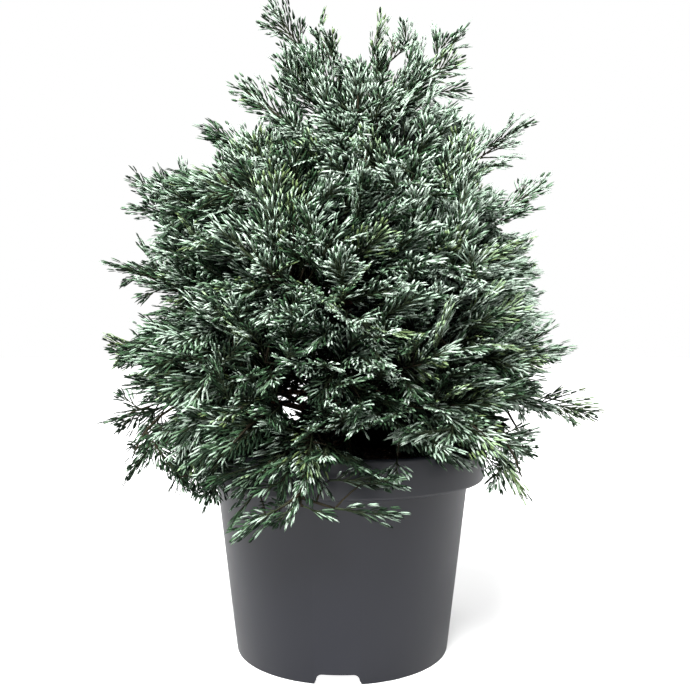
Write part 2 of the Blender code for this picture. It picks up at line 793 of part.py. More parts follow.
def shell_volume(faces):
    """Signed volume that a shell's faces enclose."""
    total = 0.0
    for face in faces:
        corners = [vert.co for vert in face.verts]
        for second, third in zip(corners[1:], corners[2:]):
            total += corners[0].dot(second.cross(third)) / 6
    return total


def keep_main_shell(obj):
    """Drops loose scraps and sealed hollows, which are the shells other than the largest."""
    made = bmesh.new()
    made.from_mesh(obj.data)
    made.faces.ensure_lookup_table()
    unseen, shells = set(made.faces), []
    while unseen:
        stack, shell = [unseen.pop()], []
        while stack:
            face = stack.pop()
            shell.append(face)
            for edge in face.edges:
                for near in edge.link_faces:
                    if near in unseen:
                        unseen.remove(near)
                        stack.append(near)
        shells.append(shell)
    main = max(shells, key=shell_volume)
    scraps = [face for shell in shells if shell is not main for face in shell]
    bmesh.ops.delete(made, geom=scraps, context="FACES")
    bmesh.ops.triangulate(made, faces=made.faces)
    made.to_mesh(obj.data)
    made.free()


def cut_clear(obj, cutter):
    """Cuts the object clear of the trunk."""
    cut = obj.modifiers.new("clear_of_trunk", "BOOLEAN")
    cut.operation = "DIFFERENCE"
    cut.solver = "EXACT"
    cut.object = cutter
    apply_modifiers(obj)
    keep_main_shell(obj)


def build_bough(axis, cutter):
    """The bare limb from the trunk to where its mass begins."""
    path = [axis.at(axis.bough_share * index / (BOUGH_RINGS - 1)) for index in range(BOUGH_RINGS)]
    limb = tube(path, taper(BOUGH_RADII, BOUGH_RINGS), BOUGH_SIDES)
    bough = object_from(f"bough_{axis.name}", limb, "bark", BARK)
    cut_clear(bough, cutter)
    return bough


def build_mass(axis, crown, cutter):
    """One foliage mass, cut clear of the trunk where it starts there."""
    mass = Mass(axis, crown)
    mass.grow()
    obj = mass.fuse()
    if axis.bough_share:
        keep_main_shell(obj)
    else:
        cut_clear(obj, cutter)
    return obj


def main():
    """Builds the pot, the compost, the trunk, the boughs and the masses."""
    clear_scene()
    build_pot()
    build_compost()
    object_from("trunk", trunk_mesh(), "bark", BARK)
    cutter = object_from("trunk_clearance", trunk_mesh(CLEARANCE), "bark", BARK)
    cutter.hide_render = True
    cutter.display_type = "WIRE"
    axes = crown_axes()
    crown = Crown(axes)
    for axis in axes:
        if axis.bough_share:
            build_bough(axis, cutter)
        build_mass(axis, crown, cutter)


main()
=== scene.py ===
"""Looks of the potted false cypress: pot, compost, bark and needles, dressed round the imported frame.

Metres, +Z up, in the frame's own coordinates. The origin is the centre of the pot's underside, -Y is the
plant's front and +X its right side. Azimuths run anticlockwise from +X, seen from above.

The foliage grows by one rule: a mass has one stem, side twigs leave it by the golden angle, plumes stand on
the twigs, shootlets leave each plume's rachis by turns, and pairs of needles clothe every shootlet. Leading
feathers, placed one by one, stand out of the crown. A mass keeps to the space nearest to its own stem.
"""

import logging
import math
import random
from dataclasses import dataclass, field
from enum import Enum
from typing import Any

import bmesh
import bpy
import numpy as np
from mathutils import Matrix, Vector, noise


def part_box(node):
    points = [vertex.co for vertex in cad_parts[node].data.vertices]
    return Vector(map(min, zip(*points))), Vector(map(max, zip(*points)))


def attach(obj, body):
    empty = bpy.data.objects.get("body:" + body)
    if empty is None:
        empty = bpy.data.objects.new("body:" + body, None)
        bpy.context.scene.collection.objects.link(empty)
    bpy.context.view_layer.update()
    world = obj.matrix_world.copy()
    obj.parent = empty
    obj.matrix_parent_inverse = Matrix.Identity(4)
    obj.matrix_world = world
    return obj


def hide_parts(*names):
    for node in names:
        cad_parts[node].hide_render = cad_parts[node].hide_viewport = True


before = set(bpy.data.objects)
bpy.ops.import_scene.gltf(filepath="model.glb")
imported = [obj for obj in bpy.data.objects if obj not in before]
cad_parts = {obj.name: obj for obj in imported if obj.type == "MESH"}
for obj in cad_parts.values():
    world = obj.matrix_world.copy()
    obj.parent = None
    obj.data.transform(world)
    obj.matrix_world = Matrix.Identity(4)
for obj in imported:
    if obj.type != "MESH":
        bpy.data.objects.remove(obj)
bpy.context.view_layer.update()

LOG = logging.getLogger("false_cypress")
BODY = "root"

Array = np.ndarray
Pair = tuple[float, float]
Triple = tuple[float, float, float]
Floats = tuple[float, ...]
Colour = Triple
Material = bpy.types.Material
Object = bpy.types.Object
Shape = bmesh.types.BMesh
Ring = list[bmesh.types.BMVert]

# --- Driving sizes, in metres ---
SOIL_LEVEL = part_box("compost")[1].z
POT_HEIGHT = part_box("pot")[1].z
RIM_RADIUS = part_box("pot")[1].x
TRUNK_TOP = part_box("trunk")[1].z
TRIANGLE_LIMIT = 190_000  # of one joined piece
GOLDEN_ANGLE = math.radians(137.5)
GOLDEN_SHARE = 0.618
EVEN_STEPS = (0.8191725134, 0.6710436067, 0.5497004779)  # whose multiples fill a unit cube evenly
EYE = (0.0018, -0.5333, 0.1992)  # the camera's place, from which the crown's openings are seen

# The crown's outline: height, then the reach from the pot's axis at the right, back, left and front.
CROWN_OUTLINE = (
    (0.084, 0.070, 0.080, 0.080, 0.100), (0.100, 0.092, 0.118, 0.090, 0.122),
    (0.108, 0.108, 0.124, 0.102, 0.128), (0.116, 0.120, 0.130, 0.118, 0.132),
    (0.124, 0.120, 0.136, 0.122, 0.136), (0.132, 0.126, 0.140, 0.126, 0.139),
    (0.140, 0.128, 0.143, 0.130, 0.141), (0.148, 0.138, 0.147, 0.133, 0.143),
    (0.156, 0.146, 0.150, 0.130, 0.144), (0.164, 0.136, 0.150, 0.136, 0.145),
    (0.176, 0.132, 0.150, 0.142, 0.146), (0.196, 0.135, 0.150, 0.146, 0.146),
    (0.206, 0.134, 0.149, 0.138, 0.145), (0.220, 0.130, 0.148, 0.127, 0.143),
    (0.236, 0.128, 0.146, 0.124, 0.140), (0.252, 0.128, 0.143, 0.140, 0.137),
    (0.268, 0.125, 0.140, 0.130, 0.134), (0.284, 0.118, 0.135, 0.127, 0.129),
    (0.296, 0.124, 0.130, 0.136, 0.124), (0.308, 0.106, 0.126, 0.130, 0.119),
    (0.316, 0.104, 0.122, 0.112, 0.112), (0.326, 0.102, 0.110, 0.062, 0.102),
    (0.336, 0.090, 0.102, 0.060, 0.094), (0.348, 0.086, 0.095, 0.038, 0.086),
    (0.358, 0.074, 0.090, 0.040, 0.080), (0.372, 0.070, 0.084, 0.056, 0.072),
    (0.384, 0.064, 0.076, 0.040, 0.066), (0.406, 0.062, 0.060, 0.036, 0.054),
)


class Tone(Enum):
    """The base colours that are dealt out to the needles, from the palest to the darkest."""

    SILVER = (0.385, 0.470, 0.395)
    MINT = (0.290, 0.390, 0.305)
    FRESH = (0.250, 0.350, 0.200)
    SAGE = (0.120, 0.190, 0.120)
    OLIVE = (0.100, 0.145, 0.056)
    GREEN = (0.036, 0.080, 0.037)
    DEEP = (0.009, 0.020, 0.010)
    # Near black: painted shade for the plumes deep inside the crown.
    SHADE = (0.002, 0.004, 0.002)


class Vigour(Enum):
    """The kinds of plume, by their place in the crown, with the shares of the tones in each."""

    FROSTED = {Tone.SILVER: 0.36, Tone.MINT: 0.20, Tone.SAGE: 0.11, Tone.GREEN: 0.11, Tone.DEEP: 0.22}
    LEAFY = {Tone.SILVER: 0.13, Tone.MINT: 0.18, Tone.SAGE: 0.19, Tone.GREEN: 0.20, Tone.DEEP: 0.30}
    YOUNG = {Tone.SILVER: 0.12, Tone.FRESH: 0.34, Tone.SAGE: 0.10, Tone.OLIVE: 0.20, Tone.DEEP: 0.24}
    # The plumes deep inside the crown are dealt these dark tones as painted shade.
    INNER = {Tone.GREEN: 0.08, Tone.DEEP: 0.34, Tone.SHADE: 0.58}


# --- Shader nodes ---


class Shade:
    """A shader socket that can be added to and multiplied: each operator adds its Math node."""

    def __init__(self, sheet: "NodeSheet", socket: bpy.types.NodeSocket) -> None:
        """Wraps an output socket of a sheet."""
        self.sheet = sheet
        self.socket = socket

    def __add__(self, other: Any) -> "Shade":
        """Returns the sum of this and a number or another wrapped socket."""
        return self.sheet.add("ShaderNodeMath", {"operation": "ADD"}, {0: self, 1: other})

    def __mul__(self, other: Any) -> "Shade":
        """Returns the product of this and a number or another wrapped socket."""
        return self.sheet.add("ShaderNodeMath", {"operation": "MULTIPLY"}, {0: self, 1: other})

    __radd__ = __add__
    __rmul__ = __mul__


class NodeSheet:
    """The nodes of a material or a world."""

    def __init__(self, owner: Material | bpy.types.World) -> None:
        """Turns the nodes on.

        Args:
            owner: The new material or world.
        """
        self.owner = owner
        owner.use_nodes = True
        self.nodes = owner.node_tree.nodes

    @classmethod
    def material(cls, name: str) -> "NodeSheet":
        """Starts a material with its Principled shader."""
        return cls(bpy.data.materials.new(name))

    def add(
        self, kind: str, settings: dict[str, Any] | None = None,
        inputs: dict[Any, Any] | None = None, output: Any = 0,
    ) -> Shade:
        """Adds any node.

        Args:
            kind: The node's type.
            settings: Its properties, and "stops" for a colour ramp's (place, colour) pairs.
            inputs: Values or wrapped sockets for its inputs, by name or number.
            output: The output to return, by name or number.

        Returns:
            The wrapped output socket.
        """
        node = self.nodes.new(kind)
        for key, value in (settings or {}).items():
            if key == "stops":
                self.set_stops(node.color_ramp, value)
            else:
                setattr(node, key, value)
        for key, value in (inputs or {}).items():
            self.feed(node.inputs[key], value)
        return Shade(self, node.outputs[output])

    def feed(self, socket: bpy.types.NodeSocket, value: Any) -> None:
        """Links a wrapped socket to an input, or sets the input's own value.

        Args:
            socket: The input.
            value: A wrapped socket, a number, a colour or a vector.
        """
        if isinstance(value, Shade):
            self.owner.node_tree.links.new(value.socket, socket)
        elif isinstance(value, tuple) and socket.type == "RGBA":
            socket.default_value = (*value[:3], 1.0)
        else:
            socket.default_value = value

    def show_to_camera(self, seen: Shade, otherwise: Shade, output: str) -> None:
        """Ends the sheet with one shader for the camera's own rays and another for all other light.

        Args:
            seen: The shader that the camera sees.
            otherwise: The shader for everything else.
            output: The name of the output node.
        """
        camera = self.add("ShaderNodeLightPath", output="Is Camera Ray")
        mixed = self.add("ShaderNodeMixShader", inputs={"Fac": camera, 1: otherwise, 2: seen})
        self.feed(self.nodes[output].inputs["Surface"], mixed)

    @staticmethod
    def set_stops(ramp: bpy.types.ColorRamp, stops: tuple[tuple[float, Colour], ...]) -> None:
        """Replaces a colour ramp's stops.

        Args:
            ramp: The ramp.
            stops: Places and colours, in order.
        """
        while len(ramp.elements) > 1:
            ramp.elements.remove(ramp.elements[0])
        ramp.elements[0].position = stops[0][0]
        ramp.elements[0].color = (*stops[0][1], 1.0)
        for place, colour in stops[1:]:
            ramp.elements.new(place).color = (*colour, 1.0)

    def noise(
        self, scale: float, detail: float = 4.0, roughness: float = 0.55, stretch: Triple = (1.0, 1.0, 1.0),
    ) -> Shade:
        """Adds a noise texture on object coordinates.

        Args:
            scale: Cells in a metre.
            detail: The number of finer octaves.
            roughness: The weight of the finer octaves.
            stretch: The scale along each axis.

        Returns:
            The noise's value.
        """
        place = self.add("ShaderNodeTexCoord", output="Object")
        place = self.add("ShaderNodeMapping", inputs={"Vector": place, "Scale": stretch})
        inputs = {"Vector": place, "Scale": scale, "Detail": detail, "Roughness": roughness}
        return self.add("ShaderNodeTexNoise", inputs=inputs)

    def ramp(self, place: Shade, *stops: tuple[float, Colour]) -> Shade:
        """Colours a value by a ramp, and gives its colour."""
        return self.add("ShaderNodeValToRGB", {"stops": stops}, {"Fac": place})

    def bump(self, height: Shade, strength: float, distance: float) -> Shade:
        """Turns a height from 0 to 1 into a normal; the distance is the height of 1, in metres."""
        inputs = {"Height": height, "Strength": strength, "Distance": distance}
        return self.add("ShaderNodeBump", inputs=inputs)

    def finish(self, **inputs: Any) -> Material:
        """Feeds the Principled shader and gives the finished material.

        Args:
            inputs: Its inputs, with underscores for the spaces in their names.

        Returns:
            The material.
        """
        for key, value in inputs.items():
            self.feed(self.nodes["Principled BSDF"].inputs[key.replace("_", " ")], value)
        return self.owner


# --- Finishes ---


@dataclass(frozen=True)
class MouldedPlastic:
    """Dark grey injection-moulded polypropylene with a soft sheen."""

    colour: Colour = (0.0092, 0.0100, 0.0150)
    faded: Colour = (0.0118, 0.0127, 0.0182)
    roughness: float = 0.38
    wear: float = 0.06
    gloss: float = 0.42

    def build(self) -> Material:
        """Makes the material.

        Returns:
            The material.
        """
        sheet = NodeSheet.material("moulded_plastic")
        colour = sheet.ramp(sheet.noise(scale=14.0), (0.35, self.colour), (0.75, self.faded))
        grain = sheet.bump(sheet.noise(scale=2600.0, detail=2.0), strength=0.12, distance=0.0001)
        roughness = self.roughness - self.wear / 2 + self.wear * sheet.noise(scale=60.0)
        return sheet.finish(
            Base_Color=colour, Roughness=roughness, Normal=grain, Specular_IOR_Level=self.gloss,
        )


@dataclass(frozen=True)
class Crumb:
    """Crumbly compost: dark peat with browner fibres."""

    name: str
    dark: Colour
    light: Colour
    roughness: float = 0.95

    def build(self) -> Material:
        """Makes the material.

        Returns:
            The material.
        """
        sheet = NodeSheet.material(self.name)
        colour = sheet.ramp(sheet.noise(scale=320.0, detail=6.0), (0.38, self.dark), (0.70, self.light))
        fibres = sheet.bump(sheet.noise(scale=900.0), strength=0.6, distance=0.0008)
        return sheet.finish(Base_Color=colour, Roughness=self.roughness, Normal=fibres)


@dataclass(frozen=True)
class Bark:
    """Brown young bark, streaked along the stem, with grey flakes."""

    furrow: Colour = (0.040, 0.020, 0.012)
    ridge: Colour = (0.165, 0.088, 0.052)
    flake: Colour = (0.230, 0.175, 0.130)
    roughness: float = 0.88
    streaked: float = 0.75  # the streaks' share of the pattern, against the patches

    def build(self) -> Material:
        """Makes the material.

        Returns:
            The material.
        """
        sheet = NodeSheet.material("bark")
        streaks = sheet.noise(scale=900.0, detail=5.0, stretch=(1.0, 1.0, 0.16))
        pattern = streaks * self.streaked + sheet.noise(scale=160.0) * (1.0 - self.streaked)
        colour = sheet.ramp(pattern, (0.34, self.furrow), (0.52, self.ridge), (0.74, self.flake))
        relief = sheet.bump(streaks, strength=0.7, distance=0.0006)
        return sheet.finish(Base_Color=colour, Roughness=self.roughness, Normal=relief)


@dataclass(frozen=True)
class Leafage:
    """A plain finish of needles, green shoots or twigs."""

    name: str
    colour: Colour
    roughness: float = 0.60
    gloss: float = 0.12

    def build(self) -> Material:
        """Makes the material."""
        sheet = NodeSheet.material(self.name)
        return sheet.finish(Base_Color=self.colour, Roughness=self.roughness, Specular_IOR_Level=self.gloss)


@dataclass(frozen=True)
class StudioFloor:
    """A plain pale floor that fades to white far from the pot, and glows white under the pot: painted light
    in place of the shade seen through the notches of its foot.
    """

    colour: Colour = (0.80, 0.80, 0.80)
    roughness: float = 0.9
    dim: Colour = (0.05, 0.05, 0.05)  # its own light near the pot, where shadows show
    bright: Colour = (1.0, 1.0, 1.0)  # under the pot, as painted light, and far away
    under: float = 0.0685  # the radius that glows under the pot, as painted light
    near: float = 0.20  # from here on it brightens
    far: float = 0.90
    bounce: Colour = (0.42, 0.42, 0.42)  # as it lights the plant

    def build(self) -> Material:
        """Makes the material.

        Returns:
            The material.
        """
        sheet = NodeSheet.material("studio_floor")
        place = sheet.add("ShaderNodeTexCoord", output="Object")
        reach = sheet.add("ShaderNodeVectorMath", {"operation": "LENGTH"}, {0: place}, "Value")
        under, near = self.under / self.far, self.near / self.far
        # The floor glows white under the pot: painted light where the pot shades it.
        glow = sheet.ramp(
            reach * (1.0 / self.far), (0.0, self.bright), (under - 0.001, self.bright),
            (under, self.dim), (near, self.dim), (1.0, self.bright),
        )
        material = sheet.finish(
            Base_Color=self.colour, Roughness=self.roughness, Emission_Color=glow, Emission_Strength=1.0,
        )
        dull = sheet.add("ShaderNodeBsdfDiffuse", inputs={"Color": self.bounce})
        lit = Shade(sheet, sheet.nodes["Principled BSDF"].outputs["BSDF"])
        sheet.show_to_camera(lit, dull, "Material Output")
        return material


SHOOTS = Leafage("green_shoot", (0.030, 0.042, 0.020))
TWIGS = Leafage("twig_bark", (0.022, 0.018, 0.010), roughness=0.85)


# --- Making objects ---


def take_in(obj: Object, material: Material, nodes: list[str]) -> None:
    """Dresses a finished piece and enters it in the frame.

    Args:
        obj: The piece.
        material: Its finish.
        nodes: The frame's nodes that it stands for.
    """
    obj.data.materials.clear()
    obj.data.materials.append(material)
    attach(obj, BODY)
    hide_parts(*nodes)
    LOG.info("%s: %d triangles", obj.name, sum(len(face.vertices) - 2 for face in obj.data.polygons))


def object_from(name: str, work: Shape, smooth_below: float | None = 35.0) -> Object:
    """Turns a bmesh into an object at the origin, and frees it.

    Args:
        name: The object's name.
        work: The bmesh.
        smooth_below: Edges under this angle in degrees are shaded smooth, or None for flat faces.

    Returns:
        The object.
    """
    bmesh.ops.recalc_face_normals(work, faces=work.faces)
    mesh = bpy.data.meshes.new(name)
    work.to_mesh(mesh)
    work.free()
    if smooth_below is not None:
        mesh.shade_smooth()
        mesh.set_sharp_from_angle(angle=math.radians(smooth_below))
    return set_out(name, mesh)


def set_out(name: str, data: bpy.types.ID) -> Object:
    """Adds an object of some data to the scene, at the origin.

    Args:
        name: Its name.
        data: Its data.

    Returns:
        The object.
    """
    obj = bpy.data.objects.new(name, data)
    bpy.context.scene.collection.objects.link(obj)
    return obj


def object_from_arrays(name: str, points: Array, triangles: Array) -> Object:
    """Makes one joined mesh of many small closed shapes.

    Args:
        name: The object's name.
        points: Corners, one row of three numbers each.
        triangles: Corner numbers, one row of three for each triangle.

    Returns:
        The object.
    """
    mesh = bpy.data.meshes.new(name)
    mesh.vertices.add(len(points))
    mesh.vertices.foreach_set("co", points.astype(np.float32).ravel())
    mesh.loops.add(triangles.size)
    mesh.loops.foreach_set("vertex_index", triangles.astype(np.int32).ravel())
    mesh.polygons.add(len(triangles))
    mesh.polygons.foreach_set("loop_start", np.arange(0, triangles.size, 3, dtype=np.int32))
    mesh.update(calc_edges=True)
    mesh.validate()
    return set_out(name, mesh)


def join_shapes(name: str, corners: Array, faces: Array) -> list[Object]:
    """Joins many copies of one small shape into as many pieces as the triangle limit asks for.

    Args:
        name: The pieces' name, which gets a number where there are several.
        corners: The corners of each shape, as (shape, corner, 3).
        faces: The triangles of one shape, as corner numbers.

    Returns:
        The pieces.
    """
    pieces = []
    count = max(1, math.ceil(len(corners) * len(faces) / TRIANGLE_LIMIT))
    for number, share in enumerate(np.array_split(corners, count), start=1):
        offsets = np.arange(len(share))[:, None, None] * share.shape[1]
        triangles = (faces[None] + offsets).reshape(-1, 3)
        piece_name = name if count == 1 else f"{name}_{number}"
        pieces.append(object_from_arrays(piece_name, share.reshape(-1, 3), triangles))
    return pieces


def spin_profile(profile: list[Pair], segments: int) -> Shape:
    """Turns a profile about Z into a closed shape.

    Args:
        profile: Points as (radius, height), from axis to axis.
        segments: The number of steps round the axis.

    Returns:
        The shape.
    """
    work = bmesh.new()
    points = [work.verts.new((radius, 0.0, height)) for radius, height in profile]
    edges = [work.edges.new(pair) for pair in zip(points, points[1:])]
    bmesh.ops.spin(
        work, geom=points + edges, axis=(0, 0, 1), cent=(0, 0, 0),
        steps=segments, angle=math.tau, use_merge=True, use_duplicate=False,
    )
    bmesh.ops.remove_doubles(work, verts=work.verts, dist=1e-6)
    bmesh.ops.recalc_face_normals(work, faces=work.faces)
    return work


def round_off(work: Shape, edges: list[bmesh.types.BMEdge], width: float, segments: int) -> None:
    """Bevels edges by a width, with a number of faces across."""
    bmesh.ops.bevel(
        work, geom=edges, offset=width, offset_type="OFFSET", segments=segments,
        profile=0.5, affect="EDGES", clamp_overlap=True, material=-1,
    )


def apply_modifiers(obj: Object) -> None:
    """Replaces an object's mesh by its evaluated one.

    Args:
        obj: The object.
    """
    bpy.context.view_layer.update()
    graph = bpy.context.evaluated_depsgraph_get()
    mesh = bpy.data.meshes.new_from_object(obj.evaluated_get(graph))
    obj.modifiers.clear()
    obj.data = mesh


# --- Pot and compost ---


@dataclass
class Pot:
    """The stepped nursery pot, with its notched foot ring and drained floor."""

    collar_height: float = 0.0235
    body_top_radius: float = 0.0832
    foot_radius: float = 0.0697
    wall: float = 0.0016
    lip: float = 0.0022
    draft: float = 0.0010
    slope: float = 0.0014
    foot_width: float = 0.0055
    underside: float = 0.007
    floor_top: float = 0.009
    boss_radius: float = 0.016
    segments: int = 144
    notch_azimuths: Floats = (-92.0, 28.0, 148.0)
    notch_height: float = 0.0062
    notch_half_width: float = 0.0128
    notch_round: float = 0.0035
    notch_flare: float = 1.35  # how much wider it is at the ground
    drain_radius: float = 0.0045
    drain_circle: float = 0.042
    drain_count: int = 6
    drain_sides: int = 28
    edge_round: float = 0.0006
    edge_turn: float = 12.0  # edges that turn by more than this, in degrees, are rounded
    smooth_below: float = 40.0

    @property
    def shoulder(self) -> float:
        """The height of the collar's foot."""
        return POT_HEIGHT - self.collar_height

    def profile(self) -> list[Pair]:
        """Gives the section, from the underside's centre round the outside to the floor's centre.

        Returns:
            Points as (radius, height).
        """
        collar_bore = RIM_RADIUS - self.draft - self.lip
        bore = self.body_top_radius - self.wall
        return [
            (0.0, 0.0), (self.boss_radius, 0.0),
            (self.boss_radius, self.underside),
            (self.foot_radius - self.foot_width, self.underside),
            (self.foot_radius - self.foot_width, 0.0), (self.foot_radius, 0.0),
            (self.body_top_radius, self.shoulder - self.slope),
            (RIM_RADIUS - self.draft - self.slope, self.shoulder),
            (RIM_RADIUS - self.draft, self.shoulder + self.slope),
            (RIM_RADIUS, POT_HEIGHT - self.slope), (RIM_RADIUS - self.slope / 2, POT_HEIGHT),
            (RIM_RADIUS - self.lip, POT_HEIGHT), (collar_bore, self.shoulder + 2 * self.slope),
            (bore, self.shoulder + self.wall), (bore, self.shoulder - 2 * self.slope),
            (self.foot_radius - self.wall, self.floor_top), (0.0, self.floor_top),
        ]

    def notch(self, cutters: Shape, azimuth: float) -> None:
        """Adds the rounded block that cuts one notch through the foot ring.

        Args:
            cutters: The bmesh that collects the cutters.
            azimuth: The notch's place, in degrees.
        """
        block = bmesh.new()
        bmesh.ops.create_cube(block, size=1.0)
        size = Vector((3 * self.foot_width, 2 * self.notch_half_width, 2 * self.notch_height))
        bmesh.ops.scale(block, vec=size, verts=block.verts)
        upper = [edge for edge in block.edges if all(vert.co.z > 0 for vert in edge.verts)]
        along = [edge for edge in upper if abs(edge.verts[0].co.x - edge.verts[1].co.x) > self.foot_width]
        round_off(block, along, self.notch_round, 5)
        low = [vert for vert in block.verts if vert.co.z < 0]
        bmesh.ops.scale(block, vec=Vector((1.0, self.notch_flare, 1.0)), verts=low)
        turn = Matrix.Rotation(math.radians(azimuth), 4, "Z")
        bmesh.ops.translate(block, vec=Vector((self.foot_radius, 0.0, 0.0)), verts=block.verts)
        bmesh.ops.transform(block, matrix=turn, verts=block.verts)
        self.add_to(cutters, block)

    @staticmethod
    def add_to(whole: Shape, part: Shape) -> None:
        """Moves a bmesh's shape into another.

        Args:
            whole: The bmesh that grows.
            part: The bmesh that is used up.
        """
        carrier = bpy.data.meshes.new("carrier")
        part.to_mesh(carrier)
        part.free()
        whole.from_mesh(carrier)
        bpy.data.meshes.remove(carrier)

    def cutter(self) -> Object:
        """Makes the object that cuts the notches and the drain holes.

        Returns:
            The cutter.
        """
        cutters = bmesh.new()
        for azimuth in self.notch_azimuths:
            self.notch(cutters, azimuth)
        for number in range(self.drain_count):
            azimuth = math.tau * (number + 0.5) / self.drain_count
            drain = bmesh.ops.create_cone(
                cutters, cap_ends=True, segments=self.drain_sides, radius1=self.drain_radius,
                radius2=self.drain_radius, depth=4 * (self.floor_top - self.underside),
            )
            centre = Vector((math.cos(azimuth), math.sin(azimuth), 0.0)) * self.drain_circle
            centre.z = self.floor_top
            bmesh.ops.translate(cutters, verts=drain["verts"], vec=centre)
        return object_from("pot_cutter", cutters, None)

    def build(self, plastic: Material) -> None:
        """Builds and dresses the pot.

        Args:
            plastic: The pot's finish.
        """
        work = spin_profile(self.profile(), self.segments)
        inner = [edge for edge in work.edges if len(edge.link_faces) == 2]
        sharp = [edge for edge in inner if edge.calc_face_angle() > math.radians(self.edge_turn)]
        round_off(work, sharp, self.edge_round, 3)
        pot = object_from("nursery_pot", work, None)
        cutter = self.cutter()
        cut = pot.modifiers.new("notches_and_drains", "BOOLEAN")
        cut.operation = "DIFFERENCE"
        cut.solver = "EXACT"
        cut.object = cutter
        apply_modifiers(pot)
        bpy.data.objects.remove(cutter, do_unlink=True)
        pot.data.shade_smooth()
        pot.data.set_sharp_from_angle(angle=math.radians(self.smooth_below))
        take_in(pot, plastic, ["pot"])


@dataclass
class Compost:
    """The root ball with its crumbly top, and loose crumbs and bark chips that lie on it."""

    pot: Pot
    mound: float = 0.0030
    mound_radius: float = 0.030
    gap: float = 0.0006
    rings: int = 30
    segments: int = 120
    lumps: float = 0.0011  # height of the lumps
    coarse_cells: float = 120.0  # lumps in a metre
    fine_cells: float = 420.0
    smooth_below: float = 60.0
    crumb_count: int = 2600
    crumb_sizes: Pair = (0.0005, 0.0016)
    crumb_stretch: float = 1.2
    chip_count: int = 520
    chip_sizes: Pair = (0.0008, 0.0018)
    chip_stretch: float = 2.6

    def top(self, radius: float) -> float:
        """Gives the even top's height at a radius.

        Args:
            radius: The distance from the axis.

        Returns:
            The height.
        """
        edge = RIM_RADIUS - self.pot.draft - self.pot.lip - self.gap
        share = min(1.0, max(0.0, (radius - self.mound_radius) / (edge - self.mound_radius)))
        return SOIL_LEVEL - self.mound * share

    def rough_top(self, x: float, y: float) -> float:
        """Gives the lumpy top's height at a place, which never rises above the even top.

        Args:
            x: The place to the right.
            y: The place to the back.

        Returns:
            The height.
        """
        coarse = noise.noise(Vector((x, y, 0.0)) * self.coarse_cells)
        fine = noise.noise(Vector((x, y, 0.3)) * self.fine_cells)
        return self.top(math.hypot(x, y)) - self.lumps * (0.9 - 0.6 * coarse - 0.4 * fine)

    def profile(self) -> list[Pair]:
        """Gives the root ball's section, from the underside's centre to the middle of the top.

        Returns:
            Points as (radius, height).
        """
        pot = self.pot
        bore = pot.body_top_radius - pot.wall - self.gap
        collar_bore = RIM_RADIUS - pot.draft - pot.lip
        floor = pot.floor_top + self.gap / 2
        side = [
            (0.0, floor),
            (pot.foot_radius - pot.wall - self.gap, floor),
            (bore, pot.shoulder - 2 * pot.slope),
            (bore, pot.shoulder + pot.wall + 2 * self.gap),
            (collar_bore - 2 * self.gap, pot.shoulder + 2 * (pot.slope + self.gap)),
        ]
        edge = collar_bore - self.gap
        radii = [edge * (1 - number / self.rings) for number in range(self.rings + 1)]
        return side + [(radius, self.top(radius)) for radius in radii]

    def build_ball(self, finish: Material) -> None:
        """Builds the root ball.

        Args:
            finish: The compost's finish.
        """
        work = spin_profile(self.profile(), self.segments)
        for vert in work.verts:
            if vert.co.z > self.top(math.hypot(vert.co.x, vert.co.y)) - 1e-5:
                vert.co.z = self.rough_top(vert.co.x, vert.co.y)
        take_in(object_from("compost_ball", work, self.smooth_below), finish, ["compost"])

    def build_crumbs(self, name: str, count: int, size: Pair, long: float, finish: Material) -> None:
        """Scatters loose eight-faced crumbs over the top.

        Args:
            name: The piece's name.
            count: The number of crumbs.
            size: The least and largest half size.
            long: How many times longer than wide they are.
            finish: Their finish.
        """
        dice = np.random.default_rng(len(name))
        edge = RIM_RADIUS - self.pot.draft - self.pot.lip - 3 * self.gap - long * size[1]
        radius = edge * np.sqrt(dice.uniform(0.0, 1.0, count))
        azimuth = dice.uniform(0.0, math.tau, count)
        half = dice.uniform(*size, count)
        turn = dice.uniform(0.0, math.tau, count)
        centre = np.stack((radius * np.cos(azimuth), radius * np.sin(azimuth), np.zeros(count)), axis=1)
        centre[:, 2] = [self.rough_top(x, y) for x, y, _ in centre]
        along = np.stack((np.cos(turn), np.sin(turn), dice.uniform(-0.3, 0.3, count)), axis=1)
        aside = np.stack((-np.sin(turn), np.cos(turn), dice.uniform(-0.3, 0.3, count)), axis=1)
        upright = np.cross(along, aside)
        reach = dice.uniform(0.7, 1.1, (6, count, 1)) * half[None, :, None]
        corners = np.stack((
            centre + long * reach[0] * along, centre - long * reach[1] * along,
            centre + reach[2] * aside, centre - reach[3] * aside,
            centre + 0.6 * reach[4] * upright, centre - 0.6 * reach[5] * upright,
        ), axis=1)
        faces = np.array([
            (0, 2, 4), (2, 1, 4), (1, 3, 4), (3, 0, 4), (2, 0, 5), (1, 2, 5), (3, 1, 5), (0, 3, 5),
        ])
        for piece in join_shapes(name, corners, faces):
            take_in(piece, finish, ["compost"])

    def build(self, peat: Material, chips: Material) -> None:
        """Builds the root ball and what lies on it.

        Args:
            peat: The finish of the ball and its crumbs.
            chips: The finish of the bark chips.
        """
        self.build_ball(peat)
        self.build_crumbs("peat_crumbs", self.crumb_count, self.crumb_sizes, self.crumb_stretch, peat)
        self.build_crumbs("bark_chips", self.chip_count, self.chip_sizes, self.chip_stretch, chips)


# --- Trunk and axes ---

BARK_RING = 2.6  # cells of the bark's relief round a limb
FURROW_CELLS = (40.0, 40.0, 90.0)  # in a metre
FLAKE_RING = 2.2
FLAKE_CELLS = 420.0
BARK_SMOOTH_BELOW = 50.0  # degrees


